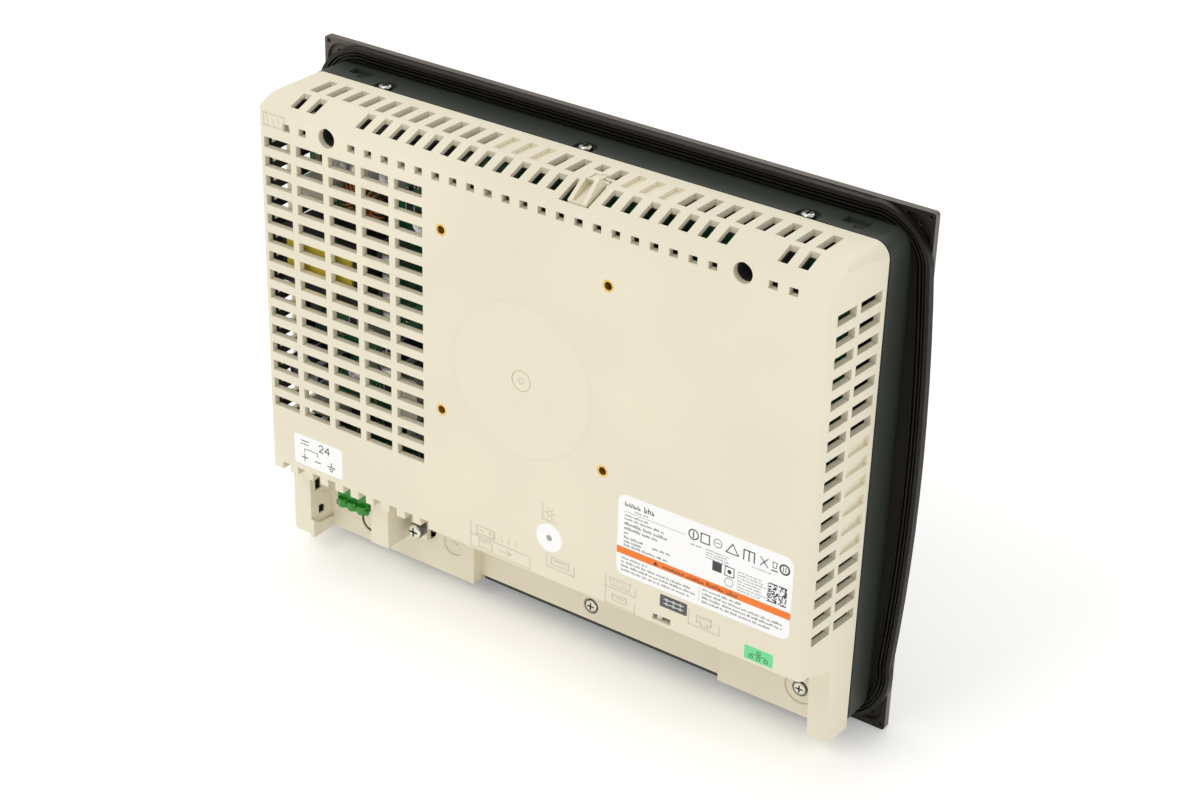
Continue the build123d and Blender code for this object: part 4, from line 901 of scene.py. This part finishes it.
class PANEL_OT_boards(Operator):
    """Circuit boards, chips, cables, transformer and the other parts behind the vents"""
    bl_idname = "panel.boards"
    bl_label = "Boards"

    def execute(self, context):
        s = context.scene.panel_boards
        board = Finish("circuit_board", IOR=1.5)
        jog = board.noise(0.05, 1.0)
        lane_x = board.step(abs((board.x / 1.3 + board.step(jog, 0.47, 0.5) * 0.5) % 1.0 - 0.5), 0.26, 0.30)
        lane_z = board.step(abs((board.z / 1.3 + board.step(jog, 0.47, 0.5) * 0.5) % 1.0 - 0.5), 0.26, 0.30)
        region = board.step(board.noise(0.035, 1.0), 0.49, 0.50)
        pour = board.step(board.noise(0.06, 1.0, 0.5, (1, 1, 1.4)), 0.60, 0.61)
        track = (lane_x * region + lane_z * (1 - region)) | pour
        vias = board.node("ShaderNodeTexVoronoi", None, {"Vector": board.at, "Scale": 0.22})
        via = 1 - board.step(vias, 0.06, 0.09)
        tone = board.blend(track, s.mask, shade(s.mask, 1.8))
        board.colour(board.blend(via, tone, (0.62, 0.60, 0.52)))
        board.roughness(0.34 + track * 0.08 - via * 0.08)
        board.metallic(via)
        board.bump(track * 0.5 + via, 0.05, 0.6)
        paint(board, "main_board", "power_board", "port_board")

        paint(speckled("chip_moulding", (0.016, 0.016, 0.017), (0.032, 0.032, 0.033), (4.0, 3.0), 0.42, 0.15,
                       0.02, 0.5, IOR=1.5), "board_chips", "small_parts")

        tape = Finish("winding_tape", IOR=1.5)
        wrap = tape.step(abs((tape.y / 4.4) % 1.0 - 0.5), 0.44, 0.49)
        mottled = tape.noise(0.25, 3.0)
        tone = tape.blend(mottled, (0.92, 0.70, 0.05), (0.98, 0.80, 0.10))
        tape.colour(tape.blend(wrap * 0.5, tone, (0.42, 0.27, 0.01)))
        tape.roughness(0.30 + mottled * 0.15)
        tape.bump(wrap * -1.0 + mottled * 0.4, 0.06, 0.5)
        paint(tape, "transformer_winding")

        paint(speckled("ferrite", (0.020, 0.020, 0.022), (0.050, 0.050, 0.053), (2.0, 5.0, 0.7), 0.62, 0.15,
                       0.05, 0.6, IOR=1.6), "transformer_core")
        paint(speckled("capacitor_box", (0.70, 0.66, 0.52), (0.80, 0.77, 0.66), (0.8, 3.0), 0.28, 0.12,
                       0.04, 0.4, IOR=1.5), "film_capacitors")

        flex = Finish("flexible_circuit", IOR=1.5)
        lane = flex.step(abs((flex.z / 1.0) % 1.0 - 0.5), 0.2, 0.28)
        flex.colour(flex.blend(lane, (0.48, 0.24, 0.03), (0.66, 0.36, 0.08)))
        flex.roughness(0.3 + lane * 0.1)
        flex.bump(lane, 0.03, 0.5)
        paint(flex, "ribbon_cables")
        return {"FINISHED"}


class PANEL_OT_capacitors(Operator):
    """Electrolytic capacitors with sleeves, rolled shoulders and scored tops"""
    bl_idname = "panel.capacitors"
    bl_label = "Capacitors"

    def execute(self, context):
        sleeve = Finish("capacitor_sleeve", IOR=1.5)
        gloss = sleeve.noise(0.5, 2.0)
        stripe = sleeve.step((sleeve.x * 0.9 + 1.0).sine(), 0.86, 0.9)
        tone = sleeve.blend(gloss, (0.010, 0.014, 0.045), (0.020, 0.026, 0.080))
        sleeve.colour(sleeve.blend(stripe, tone, (0.50, 0.52, 0.56)))
        sleeve.roughness(0.24 + gloss * 0.12)
        sleeve.bump(gloss, 0.03, 0.4)
        pale = speckled("capacitor_pale_sleeve", (0.62, 0.62, 0.60), (0.80, 0.80, 0.78), (0.5, 2.0), 0.28, 0.10,
                        0.03, 0.4, IOR=1.5)
        can = plated("capacitor_can", (0.86, 0.87, 0.88), 0.28)
        piece = Piece("capacitor_cans", [sleeve, can, pale], "capacitor_sleeve")
        for low, high in sorted(solids("bulk_capacitors"), key=lambda b: (round(b[0].z), round(b[0].x))):
            x, z = (low.x + high.x) / 2, (low.z + high.z) / 2
            r = (high.x - low.x) / 2 * 0.99
            coat = 2 if r < SMALL_CAN_R or z > PALE_CAN_Z else 0
            y0, y1 = low.y, high.y
            piece.turned(x, z, [(0.01, y0, coat), (r * 0.96, y0, coat), (r, y0 + 0.5, coat), (r, y0 + 1.6, coat),
                                (r * 0.95, y0 + 2.1, coat), (r, y0 + 2.7, coat), (r, y1 - 0.8, coat),
                                (r * 0.97, y1 - 0.25, coat), (r * 0.86, y1, coat), (r * 0.80, y1 - 0.25, coat),
                                (r * 0.78, y1 - 0.3, 1), (0.01, y1 - 0.3, 1)])
            for turn in (0.4, 0.4 + math.pi / 2):
                dx, dz = r * 0.6 * math.cos(turn), r * 0.6 * math.sin(turn)
                piece.stroke([(x - dx, z - dz), (x + dx, z + dz)], 0.25, 0.06, y=y1 - 0.32, finish=1)
        piece.finish(replaces=["bulk_capacitors"])
        return {"FINISHED"}


class PANEL_OT_choke(Operator):
    """Ring choke wound with enamelled wire"""
    bl_idname = "panel.choke"
    bl_label = "Choke"

    def execute(self, context):
        s = context.scene.panel_boards
        wire = speckled("enamelled_wire", (0.50, 0.17, 0.05), (0.72, 0.30, 0.10), (0.7, 2.0), 0.26, 0.12,
                        0.02, 0.4, Metallic=0.8, Coat_Roughness=0.1)
        ring = moulded("choke_ring", (0.03, 0.10, 0.07), 0.02, 2.0, 0.45, 0.1)
        low, high = box_mm("choke_coil")
        centre = (low + high) / 2
        thick = (high.y - low.y) / 2
        radius = (high.x - low.x) / 2 - thick
        wire_r = 0.55
        piece = Piece("wound_choke", [wire, ring], "copper_wire")
        steps = 14
        path = []
        for i in range(s.turns * steps):
            around = 2 * math.pi * i / (s.turns * steps)
            about = 2 * math.pi * i / steps
            tube = thick - wire_r - 0.02
            r = radius + tube * math.cos(about)
            path.append((centre.x + r * math.cos(around), centre.y + tube * math.sin(about),
                         centre.z + r * math.sin(around)))
        piece.tube(path, wire_r, 6, 0, closed=True)
        core = [(centre.x + radius * math.cos(2 * math.pi * i / 48), centre.y,
                 centre.z + radius * math.sin(2 * math.pi * i / 48)) for i in range(48)]
        piece.tube(core, thick - 2 * wire_r - 0.1, 16, 1, closed=True)
        piece.finish(replaces=["choke_coil"])
        return {"FINISHED"}


class PANEL_OT_board_parts(Operator):
    """Chip leads and the small soldered parts on the boards"""
    bl_idname = "panel.board_parts"
    bl_label = "Small board parts"

    def execute(self, context):
        s = context.scene.panel_boards
        tin = plated("tinned_lead", (0.80, 0.80, 0.78), 0.30)
        black = moulded("resistor_black", (0.015, 0.015, 0.017), 0.01, 4.0, 0.42, 0.1)
        tan = moulded("capacitor_tan", (0.36, 0.23, 0.12), 0.01, 4.0, 0.42, 0.1)
        leads = Piece("chip_leads", [tin], "zinc_screw")
        board_face = box_mm("main_board")[1].y
        for low, high in solids("board_chips"):
            if high.x - low.x < 6:
                continue
            count = int((high.z - low.z - 2) / LEAD_PITCH)
            for i in range(count):
                z = (low.z + high.z) / 2 + (i - (count - 1) / 2) * LEAD_PITCH
                for side, edge in ((-1, low.x), (1, high.x)):
                    a, b, c = edge, edge + side * 0.5, edge + side * 1.2
                    middle = (low.y + high.y) / 2
                    leads.box((min(a, b), middle - 0.1, z - 0.2), (max(a, b), middle + 0.1, z + 0.2))
                    leads.box((min(b, b + side * 0.2), board_face, z - 0.2),
                              (max(b, b + side * 0.2), middle + 0.1, z + 0.2))
                    leads.box((min(b, c), board_face, z - 0.2), (max(b, c), board_face + 0.2, z + 0.2))
        leads.finish()

        parts = Piece("small_soldered_parts", [black, tin, tan], "black_moulding")
        rng = random.Random(PARTS_SEED)
        tall = [b for node in ("board_chips", "board_connectors", "board_screws", "processor_heatsink",
                               "bulk_capacitors", "film_capacitors", "choke_coil", "power_heatsink", "small_parts",
                               "transformer_core", "serial_insert", "usb_shell", "card_socket", "battery_holder",
                               "fieldbus_socket", "network_socket", "led_lens", "board_shield", "drop_hook")
                for b in solids(node) if b[1].y > b[0].y]
        for board in ("main_board", "power_board"):
            low, high = box_mm(board)
            for _ in range(s.chips):
                long, short, rise, finish = rng.choice(((2.0, 1.25, 0.5, 0), (3.2, 1.6, 0.6, 0), (2.0, 1.25, 1.1, 2),
                                                        (3.2, 2.5, 1.6, 2), (4.4, 3.6, 1.9, 0)))
                if rng.random() < 0.5:
                    wide, deep = long, short
                else:
                    wide, deep = short, long
                x = round(rng.uniform(low.x + 4, high.x - 4) * 2) / 2
                z = round(rng.uniform(low.z + 4, high.z - 4) * 2) / 2
                ends = ((x - wide / 2 - 0.8, x + wide / 2 + 0.8), (z - deep / 2 - 0.8, z + deep / 2 + 0.8))
                if any(ends[0][0] < b[1].x and ends[0][1] > b[0].x and ends[1][0] < b[1].z and ends[1][1] > b[0].z
                       and b[1].y > high.y and b[0].y < high.y + 3 for b in tall):
                    continue
                tall.append((Vector((x - wide / 2, high.y - 0.1, z - deep / 2)),
                             Vector((x + wide / 2, high.y + rise, z + deep / 2))))
                parts.box((x - wide / 2 + 0.3 * (wide == long), high.y, z - deep / 2 + 0.3 * (deep == long)),
                          (x + wide / 2 - 0.3 * (wide == long), high.y + rise, z + deep / 2 - 0.3 * (deep == long)),
                          finish)
                for side in (-1, 1):
                    if wide == long:
                        a, b = sorted((x + side * wide / 2, x + side * (wide / 2 - END_CAP)))
                        parts.box((a, high.y, z - deep / 2 - 0.02), (b, high.y + rise + 0.02, z + deep / 2 + 0.02), 1)
                    else:
                        a, b = sorted((z + side * deep / 2, z + side * (deep / 2 - END_CAP)))
                        parts.box((x - wide / 2 - 0.02, high.y, a), (x + wide / 2 + 0.02, high.y + rise + 0.02, b), 1)
        parts.finish()
        return {"FINISHED"}


class PANEL_OT_stage(Operator):
    """Floor, soft lamps and camera"""
    bl_idname = "panel.stage"
    bl_label = "Stage"

    def execute(self, context):
        s = context.scene.panel_stage
        floor = Finish("floor_paper", IOR=1.4)
        tone = floor.noise(0.004, 2.0)
        floor.colour(floor.blend(tone, s.floor, shade(s.floor, 0.985)))
        floor.roughness(0.72 + tone * 0.05)
        floor.shader.inputs["Emission Color"].default_value = (1.0, 1.0, 1.0, 1.0)
        floor.shader.inputs["Emission Strength"].default_value = 0.22
        mesh = bpy.data.meshes.new("floor")
        half = 6.0
        mesh.from_pydata([(-half, -half, 0), (half, -half, 0), (half, half, 0), (-half, half, 0)], [], [(0, 1, 2, 3)])
        mesh.materials.append(floor.material)
        ground = bpy.data.objects.new("floor", mesh)
        context.scene.collection.objects.link(ground)
        ground.location.z = -0.0002

        world = context.scene.world or bpy.data.worlds.new("studio")
        context.scene.world = world
        world.use_nodes = True
        sky = world.node_tree.nodes["Background"]
        sky.inputs["Color"].default_value = (1.0, 0.995, 0.985, 1.0)
        sky.inputs["Strength"].default_value = s.sky
        aim = Vector((0.0, 0.0, 0.10))
        lamps = (("key_lamp", (0.5, 1.25, 1.55), 1.1, s.key), ("side_lamp", (-1.5, 0.1, 0.9), 1.1, s.key * 0.46),
                 ("top_lamp", (0.5, 0.1, 1.9), 1.4, s.key * 0.55), ("front_lamp", (0.3, -1.6, 1.1), 1.3, s.key * 0.5))
        for name, place, size, power in lamps:
            data = bpy.data.lights.new(name, "AREA")
            data.shape = "DISK"
            data.size = size
            data.energy = power
            data.color = (1.0, 0.985, 0.96)
            lamp = bpy.data.objects.new(name, data)
            lamp.location = place
            lamp.rotation_euler = (aim - Vector(place)).to_track_quat("-Z", "Y").to_euler()
            context.scene.collection.objects.link(lamp)

        data = bpy.data.cameras.new("camera")
        data.sensor_width = 36.0
        data.lens = s.lens
        camera = bpy.data.objects.new("camera", data)
        right = Vector((-0.81416, -0.58001, 0.02691))
        up = Vector((0.29748, -0.37687, 0.87720))
        back = Vector((-0.49865, 0.72219, 0.47937))
        turn = Matrix((right, up, back)).transposed().to_4x4()
        camera.matrix_world = Matrix.Translation((-0.47076, 0.65890, 0.54904)) @ turn
        context.scene.collection.objects.link(camera)
        context.scene.camera = camera
        context.scene.view_settings.view_transform = "Standard"
        return {"FINISHED"}


class PANEL_PT_tools(Panel):
    """Lists the steps that finish the panel"""
    bl_idname = "PANEL_PT_tools"
    bl_label = "Touch panel"
    bl_space_type = "VIEW_3D"
    bl_region_type = "UI"
    bl_category = "Touch panel"

    def draw(self, context):
        for settings in ("panel_moulding", "panel_print", "panel_boards", "panel_stage"):
            group = getattr(context.scene, settings)
            for name in group.__annotations__:
                self.layout.prop(group, name)
        for operator in OPERATORS:
            self.layout.operator(operator.bl_idname)


SETTINGS = {
    "panel_moulding": MouldingSettings,
    "panel_print": PrintSettings,
    "panel_boards": BoardSettings,
    "panel_stage": StageSettings,
}
OPERATORS = (
    PANEL_OT_cover,
    PANEL_OT_front,
    PANEL_OT_screen,
    PANEL_OT_metal,
    PANEL_OT_relief,
    PANEL_OT_labels,
    PANEL_OT_ports,
    PANEL_OT_boards,
    PANEL_OT_capacitors,
    PANEL_OT_choke,
    PANEL_OT_board_parts,
    PANEL_OT_stage,
)


def register():
    for cls in (*SETTINGS.values(), *OPERATORS, PANEL_PT_tools):
        bpy.utils.register_class(cls)
    for name, cls in SETTINGS.items():
        setattr(bpy.types.Scene, name, PointerProperty(type=cls))


def unregister():
    for name in SETTINGS:
        delattr(bpy.types.Scene, name)
    for cls in reversed((*SETTINGS.values(), *OPERATORS, PANEL_PT_tools)):
        bpy.utils.unregister_class(cls)


def main():
    register()
    for cls in OPERATORS:
        group, name = cls.bl_idname.split(".")
        getattr(getattr(bpy.ops, group), name)()


if __name__ == "__main__":
    main()
